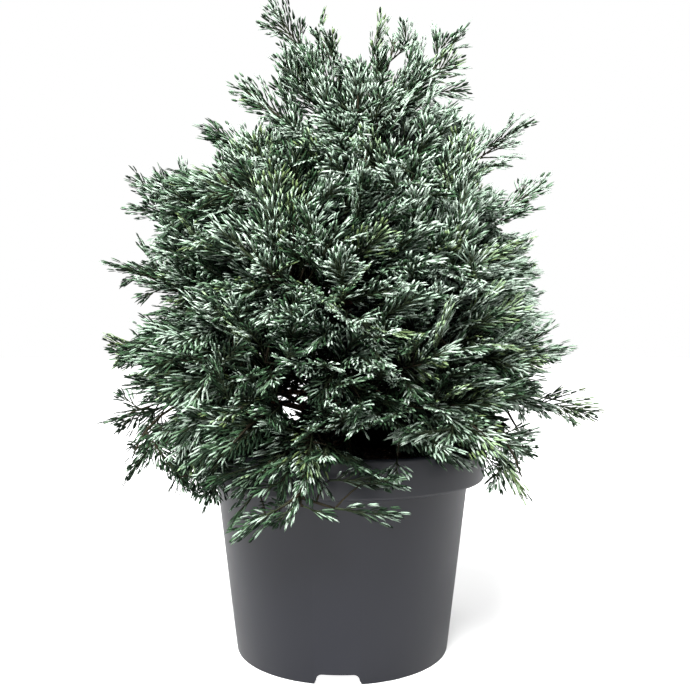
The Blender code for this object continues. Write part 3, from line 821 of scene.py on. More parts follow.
@dataclass(frozen=True)
class Tier:
    """A ring of foliage masses: where they leave the trunk, where they end and how far they reach."""

    name: str
    count: int
    azimuth: float  # of the first mass, in degrees
    root: float  # lowest height at which they leave the trunk
    tips: Floats  # height of the tips at the right, back, left and front
    reach: Floats  # distance of the tips from the pot's axis, the same way round
    arch: float  # how far the middle of an axis stands over its chord
    elbow: float  # share of the way out at which an axis bends most
    bough_share: float  # share of the axis that is a bare bough, or 0 where the mass starts at the trunk
    spread: float  # length of the longest side twig
    twigs: int = 22
    droop: float = 0.0  # how strongly the twigs hang
    root_rise: float = 0.0026  # between one root and the next round the trunk


TIERS = (
    Tier("skirt", 6, -100, 0.1345, (0.121, 0.120, 0.120, 0.105), (0.143, 0.128, 0.142, 0.124),
        0.038, 0.90, 0.30, 0.075, twigs=20, droop=0.35),
    Tier("low", 6, 4, 0.1560, (0.154, 0.152, 0.148, 0.142), (0.175, 0.146, 0.155, 0.134),
        0.012, 0.60, 0.26, 0.080),
    Tier("mid", 6, -10, 0.1720, (0.200, 0.200, 0.199, 0.190), (0.148, 0.145, 0.172, 0.135),
        -0.004, 0.50, 0.0, 0.080),
    Tier("shoulder", 6, 10, 0.2050, (0.250, 0.250, 0.254, 0.244), (0.138, 0.140, 0.152, 0.128),
        -0.008, 0.50, 0.0, 0.075),
    Tier("upper", 6, -8, 0.2420, (0.304, 0.302, 0.312, 0.300), (0.138, 0.124, 0.150, 0.112),
        -0.010, 0.50, 0.0, 0.070),
    Tier("high", 4, 6, 0.2900, (0.356, 0.352, 0.346, 0.352), (0.131, 0.096, 0.092, 0.084),
        -0.010, 0.50, 0.0, 0.055),
)


@dataclass(frozen=True)
class Leader:
    """A steep mass at the trunk's top."""

    name: str
    root: float
    tip: Triple
    arch: float
    spread: float
    twigs: int = 12


LEADERS = (
    Leader("leader_side", 0.3205, (-0.071, -0.008, 0.3730), -0.004, 0.036),
    Leader("leader_left", 0.327, (-0.050, -0.004, 0.4285), 0.004, 0.042, twigs=16),
    Leader("leader_right", 0.335, (0.085, 0.006, 0.4180), -0.004, 0.042, twigs=16),
    Leader("leader_front", 0.343, (0.036, -0.030, 0.4000), -0.004, 0.036),
    Leader("leader_middle", 0.339, (-0.015, -0.022, 0.4010), -0.002, 0.040),
    Leader("leader_back", 0.331, (0.008, 0.050, 0.4020), -0.004, 0.036),
)


def by_quarter(values: Floats, azimuth: float) -> float:
    """Blends the values for right, back, left and front.

    Args:
        values: The four values.
        azimuth: The direction, in radians.

    Returns:
        The value in that direction.
    """
    right, back, left, front = values
    x, y = math.cos(azimuth), math.sin(azimuth)
    return (right if x > 0 else left) * x * x + (back if y > 0 else front) * y * y


def across(direction: Vector, hint: Vector = Vector((0, 0, 1))) -> tuple[Vector, Vector]:
    """Gives two unit vectors square to a direction.

    Args:
        direction: The direction.
        hint: What the second should lean towards.

    Returns:
        The first, level where it can be, and the second, upwards.
    """
    side = direction.cross(hint)
    if side.length < 1e-3:
        side = direction.cross(Vector((0, 1, 0)))
    side.normalize()
    return side, side.cross(direction).normalized()


def outwards(ahead: Vector, slant: float, turn: float) -> Vector:
    """Gives the unit direction that leaves another at a slant, turned round it from its level side."""
    side, up = across(ahead)
    return math.cos(slant) * ahead + math.sin(slant) * (math.cos(turn) * side + math.sin(turn) * up)


@dataclass
class Trunk:
    """The slightly bent, leaning trunk with its root flare, and its bark in relief."""

    radius: float = 0.0052
    tip_radius: float = 0.0013
    lean: Vector = field(default_factory=lambda: Vector((0.014, 0.004, 0.0)))
    lean_power: float = 1.3
    flare: float = 0.0040
    flare_height: float = 0.009
    taper_power: float = 0.85
    bend: float = 0.0030
    bend_turns: float = 0.9
    rings: int = 150
    ring_power: float = 1.6  # how much closer the rings are at the foot
    sides: int = 30
    relief: float = 0.10  # depth of the bark's relief, as a share of the radius

    def centre(self, height: float) -> Vector:
        """Gives the centre line's point at a height.

        Args:
            height: The height.

        Returns:
            The point.
        """
        share = (height - SOIL_LEVEL) / (TRUNK_TOP - SOIL_LEVEL)
        bend = self.bend * math.sin(math.tau * share * self.bend_turns)
        x = self.lean.x * max(share, 0.0) ** self.lean_power - bend
        return Vector((x, self.lean.y * share + 0.6 * bend, height))

    def girth(self, height: float) -> float:
        """Gives the radius at a height, with the flare at the foot.

        Args:
            height: The height.

        Returns:
            The radius.
        """
        share = (height - SOIL_LEVEL) / (TRUNK_TOP - SOIL_LEVEL)
        stem = self.tip_radius + (self.radius - self.tip_radius) * (1 - min(share, 1.0)) ** self.taper_power
        return stem + self.flare * math.exp(-(height - SOIL_LEVEL) / self.flare_height)

    def heights(self, count: int) -> list[float]:
        """Gives a number of ring heights from the foot to the tip, closer together at the flare."""
        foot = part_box("trunk")[0].z
        shares = (number / (count - 1) for number in range(count))
        return [foot + (TRUNK_TOP - foot) * share**self.ring_power for share in shares]

    def build(self, bark: Material) -> None:
        """Builds and dresses the trunk.

        Args:
            bark: The bark's finish.
        """
        heights = self.heights(self.rings)
        path = [self.centre(height) for height in heights]
        girths = [self.girth(height) for height in heights]
        work = limb(path, girths, self.sides, self.relief)
        take_in(object_from("bark_trunk", work, BARK_SMOOTH_BELOW), bark, ["trunk"])


def bark_relief(point: Vector, turn: float, along: float) -> float:
    """Gives the bark's relief as a share of the radius.

    Args:
        point: The place, which varies the pattern from limb to limb.
        turn: The angle round the limb.
        along: The distance along it.

    Returns:
        A number round 0, at most about 1 either way.
    """
    ring = Vector((math.cos(turn), math.sin(turn), 0.0)) * BARK_RING
    furrow = Vector((point.x * FURROW_CELLS[0], point.y * FURROW_CELLS[1], along * FURROW_CELLS[2]))
    furrows = noise.noise(ring + furrow)
    flakes = noise.noise(ring * FLAKE_RING + Vector((0, 0, along * FLAKE_CELLS)))
    return 0.75 * furrows + 0.35 * flakes


def limb(path: list[Vector], girths: list[float], sides: int, depth: float) -> Shape:
    """Shapes a closed tapering limb with its bark in relief, extruded ring by ring.

    Args:
        path: Centre points.
        girths: The radius at each.
        sides: Corners of a ring.
        depth: The relief's depth, as a share of the radius.

    Returns:
        The limb.
    """
    work = bmesh.new()
    start = bmesh.ops.create_circle(work, cap_ends=True, segments=sides, radius=1.0)
    ring = start["verts"]
    along = 0.0
    shape_ring(ring, path, girths, 0, depth, along)
    for number in range(1, len(path)):
        edges = [work.edges.get((ring[corner - 1], ring[corner])) for corner in range(sides)]
        grown = bmesh.ops.extrude_edge_only(work, edges=edges)
        fresh = [item for item in grown["geom"] if isinstance(item, bmesh.types.BMVert)]
        ring = in_ring_order(ring, fresh)
        along += (path[number] - path[number - 1]).length
        shape_ring(ring, path, girths, number, depth, along)
    bmesh.ops.contextual_create(work, geom=ring)
    return work


def in_ring_order(ring: Ring, fresh: Ring) -> Ring:
    """Sorts the corners of an extruded ring like the ring that they come from.

    Args:
        ring: The earlier ring.
        fresh: The extruded corners.

    Returns:
        The extruded corners in the same order.
    """
    known = set(fresh)
    neighbours = [[edge.other_vert(vert) for edge in vert.link_edges] for vert in ring]
    return [next(vert for vert in near if vert in known) for near in neighbours]


def shape_ring(
    ring: Ring, path: list[Vector], girths: list[float], number: int, depth: float, along: float,
) -> None:
    """Places a ring's corners round a limb's centre line.

    Args:
        ring: The corners in order.
        path: The limb's centre points.
        girths: Its radii.
        number: The ring's number.
        depth: The relief's depth, as a share of the radius.
        along: The ring's distance from the limb's root.
    """
    ahead = (path[min(number + 1, len(path) - 1)] - path[max(number - 1, 0)]).normalized()
    side, up = across(ahead)
    for corner, vert in enumerate(ring):
        turn = math.tau * corner / len(ring)
        reach = girths[number] * (1.0 + depth * (bark_relief(path[0], turn, along) - 0.4))
        vert.co = path[number] + reach * (math.cos(turn) * side + math.sin(turn) * up)


@dataclass
class Axis:
    """The line that a bough and its mass follow, from the trunk to the mass's tip."""

    name: str
    root: Vector
    tip: Vector
    arch: float
    elbow: float
    bough_share: float
    spread: float
    twigs: int
    droop: float

    def at(self, share: float) -> Vector:
        """Gives the point at a share of the way out."""
        bend = self.root.lerp(self.tip, self.elbow) + Vector((0, 0, 2 * self.arch))
        return (1 - share) ** 2 * self.root + 2 * share * (1 - share) * bend + share**2 * self.tip

    def ahead(self, share: float) -> Vector:
        """Gives the unit direction of growth there."""
        return (self.at(share + 0.02) - self.at(share - 0.02)).normalized()

    def along_stem(self, share: float) -> float:
        """Gives the share of the whole axis at a share of the mass's stem."""
        return self.bough_share + share * (1 - self.bough_share)


def crown_axes(trunk: Trunk) -> list[Axis]:
    """Works out every mass's axis, from the skirt to the leaders.

    Args:
        trunk: The trunk that they leave.

    Returns:
        The axes.
    """
    axes = []
    for tier in TIERS:
        for number in range(tier.count):
            azimuth = math.radians(tier.azimuth) + math.tau * number / tier.count
            reach, height = by_quarter(tier.reach, azimuth), by_quarter(tier.tips, azimuth)
            tip = Vector((reach * math.cos(azimuth), reach * math.sin(azimuth), height))
            axes.append(Axis(
                f"{tier.name}_{number + 1}", trunk.centre(tier.root + tier.root_rise * number), tip,
                tier.arch, tier.elbow, tier.bough_share, tier.spread, tier.twigs, tier.droop,
            ))
    for leader in LEADERS:
        axes.append(Axis(
            leader.name, trunk.centre(leader.root), Vector(leader.tip),
            leader.arch, 0.5, 0.0, leader.spread, leader.twigs, 0.0,
        ))
    return axes


@dataclass
class Boughs:
    """The bare limbs of the two lowest tiers, with their bark in relief."""

    axes: list[Axis]
    root_radius: float = 0.0027
    tip_radius: float = 0.0015
    rings: int = 36
    sides: int = 14
    relief: float = 0.16

    def build(self, bark: Material) -> None:
        """Builds and dresses every bough.

        Args:
            bark: The bark's finish.
        """
        for axis in self.axes:
            if axis.bough_share:
                shares = [axis.bough_share * number / (self.rings - 1) for number in range(self.rings)]
                girths = np.linspace(self.root_radius, self.tip_radius, self.rings).tolist()
                work = limb([axis.at(share) for share in shares], girths, self.sides, self.relief)
                piece = object_from(f"bark_{axis.name}", work, BARK_SMOOTH_BELOW)
                take_in(piece, bark, [f"bough_{axis.name}"])


# --- Keeping to a space ---


# The gaps that show the sky from the front: x, z and radius in the upright plane of the pot's axis.
OPENINGS = (
    (-0.0320, 0.1635, 0.0100), (-0.1160, 0.1560, 0.0055), (0.0233, 0.1306, 0.0120),
    (0.1110, 0.1500, 0.0080), (0.0350, 0.3830, 0.0055), (-0.0060, 0.3780, 0.0060),
    (0.0050, 0.4030, 0.0085), (-0.0220, 0.3520, 0.0070), (-0.0950, 0.3260, 0.0120),
    (0.1000, 0.3520, 0.0100), (0.0980, 0.3080, 0.0060),
)


@dataclass
class CrownSpace:
    """The room of each mass: its own space, inside the outline, off the pot and the trunk."""

    axes: list[Axis]
    trunk: Trunk
    stem_foot: float = 0.25  # the share of its stem from which a mass holds its own space
    stem_points: int = 7
    trunk_points: int = 10
    overlap: float = 0.0200  # how far neighbours' plumes may mingle
    inset: float = 0.0060  # of plumes inside the outline
    lift: float = 0.035  # how far above a point its depth is measured too
    lift_margin: float = 0.03
    # Azimuths in degrees, and the height above which plumes keep there.
    skirt_floor: tuple[Pair, ...] = (
        (-180, 0.094), (-145, 0.098), (-120, 0.100), (-102, 0.112), (-76, 0.114), (-70, 0.138), (-60, 0.138),
        (-54, 0.130), (-42, 0.120), (-15, 0.114), (0, 0.108), (90, 0.102), (180, 0.094),
    )
    limb_margin: float = 0.0010
    pot_margin: float = 0.0016
    pot_lip: float = 0.0022
    step: float = 0.002

    def __post_init__(self) -> None:
        """Works out the straight pieces that stand for the stems and the trunk."""
        self.names = [axis.name for axis in self.axes]
        shares = np.linspace(self.stem_foot, 1.0, self.stem_points).tolist()
        stems = np.array([[axis.at(axis.along_stem(share)) for share in shares] for axis in self.axes])
        self.stem_starts, self.stem_runs = stems[:, :-1], np.diff(stems, axis=1)
        heights = self.trunk.heights(self.trunk_points)
        trunk = np.array([self.trunk.centre(height) for height in heights])
        self.trunk_starts, self.trunk_runs = trunk[:-1], np.diff(trunk, axis=0)
        self.trunk_radii = np.array([self.trunk.girth(height) for height in heights[:-1]])

    @staticmethod
    def distances(points: Array, starts: Array, runs: Array) -> Array:
        """Measures from points to straight pieces.

        Args:
            points: The points.
            starts: Where the pieces start, which may be arranged in rows.
            runs: From their start to their end.

        Returns:
            The distances, with the points first.
        """
        points = points.reshape(len(points), *(1,) * (starts.ndim - 1), 3)
        shares = np.sum((points - starts) * runs, axis=-1) / np.sum(runs * runs, axis=-1)
        nearest = starts + np.clip(shares, 0, 1)[..., None] * runs
        return np.linalg.norm(points - nearest, axis=-1)

    def from_stems(self, points: Array) -> Array:
        """Measures from each point to each mass's stem."""
        return self.distances(points, self.stem_starts, self.stem_runs).min(axis=2)

    def in_space(self, axis: Axis, points: Array) -> Array:
        """Tells which points are in a mass's own space, or no further out of it than the overlap.

        Args:
            axis: The mass's axis.
            points: The points.

        Returns:
            True for each point that is.
        """
        nearest = self.from_stems(points)
        own = self.names.index(axis.name)
        others = np.delete(nearest, own, axis=1).min(axis=1)
        return nearest[:, own] < others + self.overlap

    def off_trunk(self, points: Array) -> Array:
        """Tells which points keep off the trunk."""
        distances = self.distances(points, self.trunk_starts, self.trunk_runs)
        return (distances > self.trunk_radii + self.limb_margin).all(axis=1)

    def off_pot(self, points: Array) -> Array:
        """Tells which points keep off the pot and the compost.

        Args:
            points: The points.

        Returns:
            True for each point that does.
        """
        radius = np.hypot(points[:, 0], points[:, 1])
        height = points[:, 2]
        over = height > POT_HEIGHT + self.pot_margin
        inside = radius < RIM_RADIUS - self.pot_lip - 2 * self.pot_margin
        inside &= height > SOIL_LEVEL + self.pot_margin
        return over | inside | (radius > RIM_RADIUS + self.pot_margin)

    @staticmethod
    def outline_reach(points: Array) -> Array:
        """Gives the outline's reach from the pot's axis in each point's direction and at its height.

        Args:
            points: The points.

        Returns:
            The reaches.
        """
        heights, right, back, left, front = np.array(CROWN_OUTLINE).T
        radius = np.maximum(np.hypot(points[:, 0], points[:, 1]), 1e-6)
        cosine, sine = points[:, 0] / radius, points[:, 1] / radius
        right, back, left, front = (
            np.interp(points[:, 2], heights, side) for side in (right, back, left, front)
        )
        return np.where(cosine > 0, right, left) * cosine**2 + np.where(sine > 0, back, front) * sine**2

    def depth(self, points: Array) -> Array:
        """Gives how far points lie inside the outline, sideways or upwards.

        Args:
            points: The points.

        Returns:
            The depths.
        """
        radius = np.hypot(points[:, 0], points[:, 1])
        lifted = points + np.array((0.0, 0.0, self.lift))
        upwards = self.outline_reach(lifted) - radius
        return np.minimum(self.outline_reach(points) - radius, upwards + self.lift_margin)

    def depth_at(self, place: Array | Vector) -> float:
        """Gives how far one point lies inside the outline."""
        return float(self.depth(np.array([place]))[0])

    def in_outline(self, points: Array) -> Array:
        """Tells which points lie inside the inset outline, over the skirt's floor and under the top.

        Args:
            points: The points.

        Returns:
            True for each point that does.
        """
        radius = np.hypot(points[:, 0], points[:, 1])
        height = points[:, 2]
        azimuths, floors = np.array(self.skirt_floor).T
        low = np.interp(np.degrees(np.arctan2(points[:, 1], points[:, 0])), azimuths, floors)
        high = CROWN_OUTLINE[-1][0]
        return (radius < self.outline_reach(points) - self.inset) & (height > low) & (height < high)

    @staticmethod
    def off_openings(points: Array) -> Array:
        """Tells which points leave the crown's openings free.

        Args:
            points: The points.

        Returns:
            True for each point that does.
        """
        eye = np.array(EYE)
        share = -eye[1] / np.maximum(points[:, 1] - eye[1], 1e-3)
        x, z = (eye[axis] + (points[:, axis] - eye[axis]) * share for axis in (0, 2))
        free = np.ones(len(points), dtype=bool)
        for middle_x, middle_z, radius in OPENINGS:
            free &= np.hypot(x - middle_x, z - middle_z) > radius
        return free

    def clear(self, axis: Axis, points: Array) -> Array:
        """Tells which of the points a piece of an axis's mass may occupy."""
        clear = self.in_outline(points) & self.off_openings(points) & self.off_pot(points)
        return clear & self.off_trunk(points) & self.in_space(axis, points)

    def clear_outside(self, points: Array) -> Array:
        """Tells which points of a leading feather are clear, which may leave the outline."""
        return self.off_openings(points) & self.off_pot(points) & self.off_trunk(points)

    def room(self, axis: Axis, start: Vector, direction: Vector, longest: float) -> float:
        """Measures how far a twig may reach.

        Args:
            axis: The mass's axis.
            start: The twig's root.
            direction: Its unit direction.
            longest: The most that it may reach.

        Returns:
            The reach.
        """
        distances = np.arange(self.step, longest, self.step)
        points = np.array(start) + distances[:, None] * np.array(direction)
        clear = self.clear(axis, points)
        return longest if clear.all() else self.step * float(np.argmin(clear))


# --- Growth ---


@dataclass(frozen=True)
class Habit:
    """How twigs, plumes and shootlets grow. Lengths in metres, angles in degrees, the rest as shares."""

    # Twigs
    first_twig: float = 0.10  # share of the stem
    last_twig: float = 0.94
    twig_slants: Pair = (78.0, 32.0)  # to the stem, at its root and at its tip
    twig_reaches: Pair = (0.86, 1.0)  # how much of its room a twig takes
    shortest_twig: float = 0.014
    twig_curl: float = 0.12  # towards the stem's tip, as a share of its length
    feather_radii: Pair = (0.0011, 0.0006)
    feather_cover: float = 0.92  # the most of its twig that the tip's plume covers
    stem_tip: float = 0.35  # where a stem's last stretch starts, which is clothed too
    # Plumes
    plume_length: float = 0.046
    shortest_plume: float = 0.016
    plume_spacings: Pair = (0.0092, 0.0160)  # outside and inside
    plume_width: float = 0.20  # half, as a share of the length
    plume_bends: Pair = (-0.08, 0.14)
    plume_sizes: Floats = (1.0, 0.84, 0.70)
    tip_lengths: Pair = (0.85, 1.2)  # of a twig's last plume
    side_length: float = 0.85  # of the plumes at its sides
    side_lengths: Pair = (0.8, 1.15)
    feather_side: float = 0.46  # the same at a leading feather's sides, as a share of its own plume
    side_overlap: float = 0.55
    side_step: float = 0.0110
    side_steps: Pair = (0.8, 1.2)
    side_slant: float = 42.0
    slant_spread: float = 9.0
    turn_spread: float = 0.7  # radians
    needle_margin: float = 0.0050  # how far needles reach past a plume's last shoot
    # Kinds of plume
    inner_depth: float = 0.034  # below it plumes are dealt painted shade
    inner_spread: float = 0.014
    thin_top: float = 0.35  # the height from which that depth grows
    thin_rise: float = 1.6
    young: float = 0.09  # share of the young plumes
    frosted: float = 0.50  # of them at the crown's middle
    # From this height up, and to the right, plumes are more often frosted: painted light from the upper
    # right.
    frosted_level: float = 0.25
    frosted_to_right: float = 1.6  # more of them for each metre to the right: painted light from the right
    painted_light_frost_up: float = 1.8
    # Shootlets
    first_shootlet: float = 0.004
    last_shootlet: float = 0.90
    shootlet_step: float = 0.0030
    shootlet_shift: float = 0.02
    longest_shootlet: float = 0.0200
    shootlet_share: float = 0.46  # the most of its plume's length
    shootlet_lengths: Pair = (0.78, 1.12)
    shootlet_slants: Pair = (46.0, 22.0)
    shootlet_spread: float = 7.0
    shootlet_lift: float = 0.14  # off the plume's plane
    shootlet_curve: float = 0.46  # how far it bends forwards, as a share of its length


@dataclass(frozen=True)
class Blade:
    """A needle's shape and stand. Lengths in metres, angles in degrees, pairs for edge and face needles."""

    step: float = 0.0041  # between pairs
    length: float = 0.0086
    lengths: Pair = (1.32, 0.86)
    length_spread: Pair = (0.85, 1.12)
    taper: float = 0.42  # how much shorter needles are at a shoot's tip
    width: float = 0.00128
    widths: Pair = (0.88, 1.08)
    width_spread: Pair = (0.85, 1.2)
    slants: Pair = (9.0, 4.0)  # to the shoot, at its root and at its tip
    slant_spread: float = 3.0
    face_slant: float = 0.75  # of a face needle, as a share of an edge needle's
    turn_spread: float = 0.3
    roll_spread: float = 0.45
    edge_gap: float = 0.0007  # from a shoot's middle to an edge needle's root
    last: float = 0.97  # the last needle's share of a shoot
    faces: tuple[tuple[int, int, int], ...] = (
        (0, 1, 2), (1, 3, 4), (1, 4, 2), (3, 5, 4), (0, 3, 1), (0, 5, 3), (0, 2, 4), (0, 4, 5),
    )

    @staticmethod
    def corners(root: Array, ahead: Array, broad: Array, length: Array, width: Array) -> Array:
        """Shapes each needle as an arched blade that is keeled below, with eight faces.

        Args:
            root: The needles' roots.
            ahead: Their directions.
            broad: The directions of their width.
            length: Their lengths.
            width: Their widths.

        Returns:
            The corners, as (needle, corner, 3).
        """
        length, width = length[:, None], width[:, None]
        outer = unit(np.cross(broad, ahead))
        low = root + 0.28 * length * ahead + 0.045 * length * outer
        high = root + 0.76 * length * ahead + 0.035 * length * outer
        tip = root + length * ahead - 0.040 * length * outer
        low_half, high_half = 0.5 * width * broad, 0.42 * width * broad
        middle = (low + low_half, low - low_half, high + high_half, high - high_half)
        return np.stack((root, *middle, tip), axis=1)


@dataclass
class Twig:
    """A woody twig that bends a little."""

    root: Vector
    direction: Vector
    length: float
    curl: Vector
    radii: Pair = (0.0007, 0.0004)
    shown: float = 1.0  # the share that is built, up to the last plume on it

    def at(self, share: float) -> Vector:
        """Gives the point at a share of the way out."""
        return self.root + share * self.length * self.direction + share * share * self.curl

    def ahead(self, share: float) -> Vector:
        """Gives the unit direction of growth there."""
        return (self.length * self.direction + 2 * share * self.curl).normalized()


@dataclass
class Plume:
    """A flattened, feathery spray of shootlets on one rachis."""

    root: Vector
    ahead: Vector
    face: Vector
    length: float
    bend: float
    vigour: Vigour = Vigour.INNER

    @classmethod
    def rolled(cls, root: Vector, ahead: Vector, length: float, habit: Habit, dice: random.Random) -> "Plume":
        """Gives a plume with a drawn roll and bend.

        Args:
            root: Where its rachis starts.
            ahead: Its direction.
            length: Its length.
            habit: How it grows.
            dice: Where the draws come from.

        Returns:
            The plume.
        """
        side, up = across(ahead)
        roll = dice.uniform(-1.0, 1.0)
        face = math.cos(roll) * up + math.sin(roll) * side
        return cls(root, ahead, face, length, dice.uniform(*habit.plume_bends))

    @property
    def side(self) -> Vector:
        """The direction across the plume, in its plane."""
        return self.ahead.cross(self.face).normalized()

    def at(self, along: float, sideways: float = 0.0) -> Vector:
        """Gives the point at a share of the length, off the rachis by a distance."""
        rise = self.bend * self.length * along * along
        return self.root + along * self.length * self.ahead + rise * self.face + sideways * self.side


@dataclass(frozen=True)
class Feather:
    """A leading plume that stands out of the crown: where it leaves its mass's stem, and its tip."""

    share: float
    tip: Triple
    length: float = 0.040
    curl: float = 0.06


# The feathers of each mass.
FEATHERS = {
    "leader_left": (
        (0.74, (-0.045, -0.004, 0.424), 0.042, -0.02), (0.62, (-0.027, -0.012, 0.406), 0.036),
        (0.5, (-0.031, -0.01, 0.392), 0.034),
    ),
    "leader_middle": (
        (0.7, (-0.008, -0.02, 0.406), 0.034), (0.6, (-0.02, -0.01, 0.406), 0.03),
        (0.5, (-0.014, -0.02, 0.394), 0.032),
    ),
    "leader_front": (
        (0.6, (0.018, -0.022, 0.396), 0.034), (0.75, (0.032, -0.022, 0.396), 0.034),
        (0.5, (0.024, -0.03, 0.393), 0.034),
    ),
    "leader_right": (
        (0.6, (0.044, 0.0, 0.407), 0.034), (0.7, (0.066, 0.004, 0.421), 0.034),
        (0.78, (0.084, 0.004, 0.416), 0.034), (0.66, (0.086, 0.0, 0.386), 0.036),
        (0.45, (0.085, -0.01, 0.369), 0.036), (0.5, (0.08, 0.0, 0.396), 0.034),
        (0.5, (0.048, -0.012, 0.393), 0.034), (0.76, (0.056, 0.002, 0.406), 0.034),
    ),
    "leader_side": (
        (0.72, (-0.068, -0.006, 0.369), 0.04), (0.6, (-0.066, -0.01, 0.363), 0.034),
        (0.55, (-0.045, -0.01, 0.38), 0.03),
    ),
    "high_3": ((0.7, (-0.09, -0.005, 0.346), 0.042), (0.6, (-0.086, -0.015, 0.337), 0.036)),
    "high_1": (
        (0.72, (0.104, 0.004, 0.352), 0.04), (0.78, (0.124, 0.008, 0.349), 0.04),
        (0.74, (0.121, 0.0, 0.337), 0.036), (0.6, (0.112, -0.006, 0.319), 0.038),
        (0.7, (0.123, 0.004, 0.327), 0.038),
    ),
    "upper_1": ((0.74, (0.124, -0.014, 0.294), 0.042), (0.66, (0.123, -0.018, 0.288), 0.036)),
    "upper_4": (
        (0.76, (-0.14, 0.006, 0.303), 0.042), (0.72, (-0.132, 0.01, 0.306), 0.04),
        (0.7, (-0.144, -0.006, 0.292), 0.044), (0.66, (-0.12, 0.002, 0.304), 0.036),
    ),
    "shoulder_4": (
        (0.76, (-0.135, -0.02, 0.269), 0.044), (0.78, (-0.139, -0.024, 0.252), 0.044),
        (0.66, (-0.134, -0.03, 0.24), 0.04),
    ),
    "shoulder_1": (
        (0.74, (0.131, 0.02, 0.272), 0.042), (0.78, (0.13, 0.024, 0.256), 0.042),
        (0.66, (0.137, 0.016, 0.235), 0.044),
    ),
    "mid_4": (
        (0.7, (-0.137, 0.026, 0.213), 0.044), (0.82, (-0.163, 0.014, 0.195), 0.046),
        (0.8, (-0.158, 0.01, 0.187), 0.04),
    ),
    "mid_1": ((0.74, (0.138, -0.026, 0.213), 0.042), (0.8, (0.143, -0.024, 0.189), 0.044)),
    "low_4": (
        (0.78, (-0.15, -0.01, 0.17), 0.044), (0.72, (-0.148, -0.016, 0.144), 0.044),
        (0.6, (-0.128, -0.024, 0.13), 0.042), (0.66, (-0.134, -0.006, 0.138), 0.04),
    ),
    "low_1": ((0.82, (0.156, 0.01, 0.162), 0.04), (0.86, (0.171, 0.012, 0.154), 0.044)),
    "skirt_6": (
        (0.76, (-0.118, -0.046, 0.127), 0.044), (0.66, (-0.108, -0.04, 0.134), 0.042),
        (0.7, (-0.102, -0.06, 0.124), 0.04), (0.7, (-0.088, -0.072, 0.114), 0.04),
    ),
    "skirt_1": (
        (0.84, (-0.057, -0.104, 0.099), 0.04, 0.16), (0.88, (-0.037, -0.116, 0.104), 0.036, 0.12),
        (0.9, (-0.0034, -0.124, 0.109), 0.034, 0.12), (0.86, (0.03, -0.117, 0.108), 0.036, 0.16),
    ),
    "skirt_2": ((0.8, (0.108, -0.085, 0.129), 0.044), (0.6, (0.116, -0.05, 0.129), 0.04)),
    "skirt_3": ((0.66, (0.124, -0.016, 0.13), 0.042),),
}


class Crowd:
    """Keeps plumes apart: close in the crown's shell and further apart inside."""

    shell: float = 0.030  # the depth down to which plumes stand close
    change: float = 0.035  # the further depth at which they stand furthest apart

    def __init__(self, spacings: Pair) -> None:
        """Starts with no plume, and with the distances outside and deep inside."""
        self.outside, self.inside = spacings
        self.middles = np.zeros((0, 3))

    def admits(self, middle: Array, depth: float) -> bool:
        """Tells if a plume may stand there.

        Args:
            middle: The plume's middle.
            depth: Its depth in the crown.

        Returns:
            True if it may.
        """
        inwards = min(max((depth - self.shell) / self.change, 0.0), 1.0)
        spacing = self.outside + inwards * (self.inside - self.outside)
        return not bool((np.linalg.norm(self.middles - middle, axis=1) < spacing).any())

    def add(self, middle: Array) -> None:
        """Keeps the place of a plume."""
        self.middles = np.vstack((self.middles, middle))


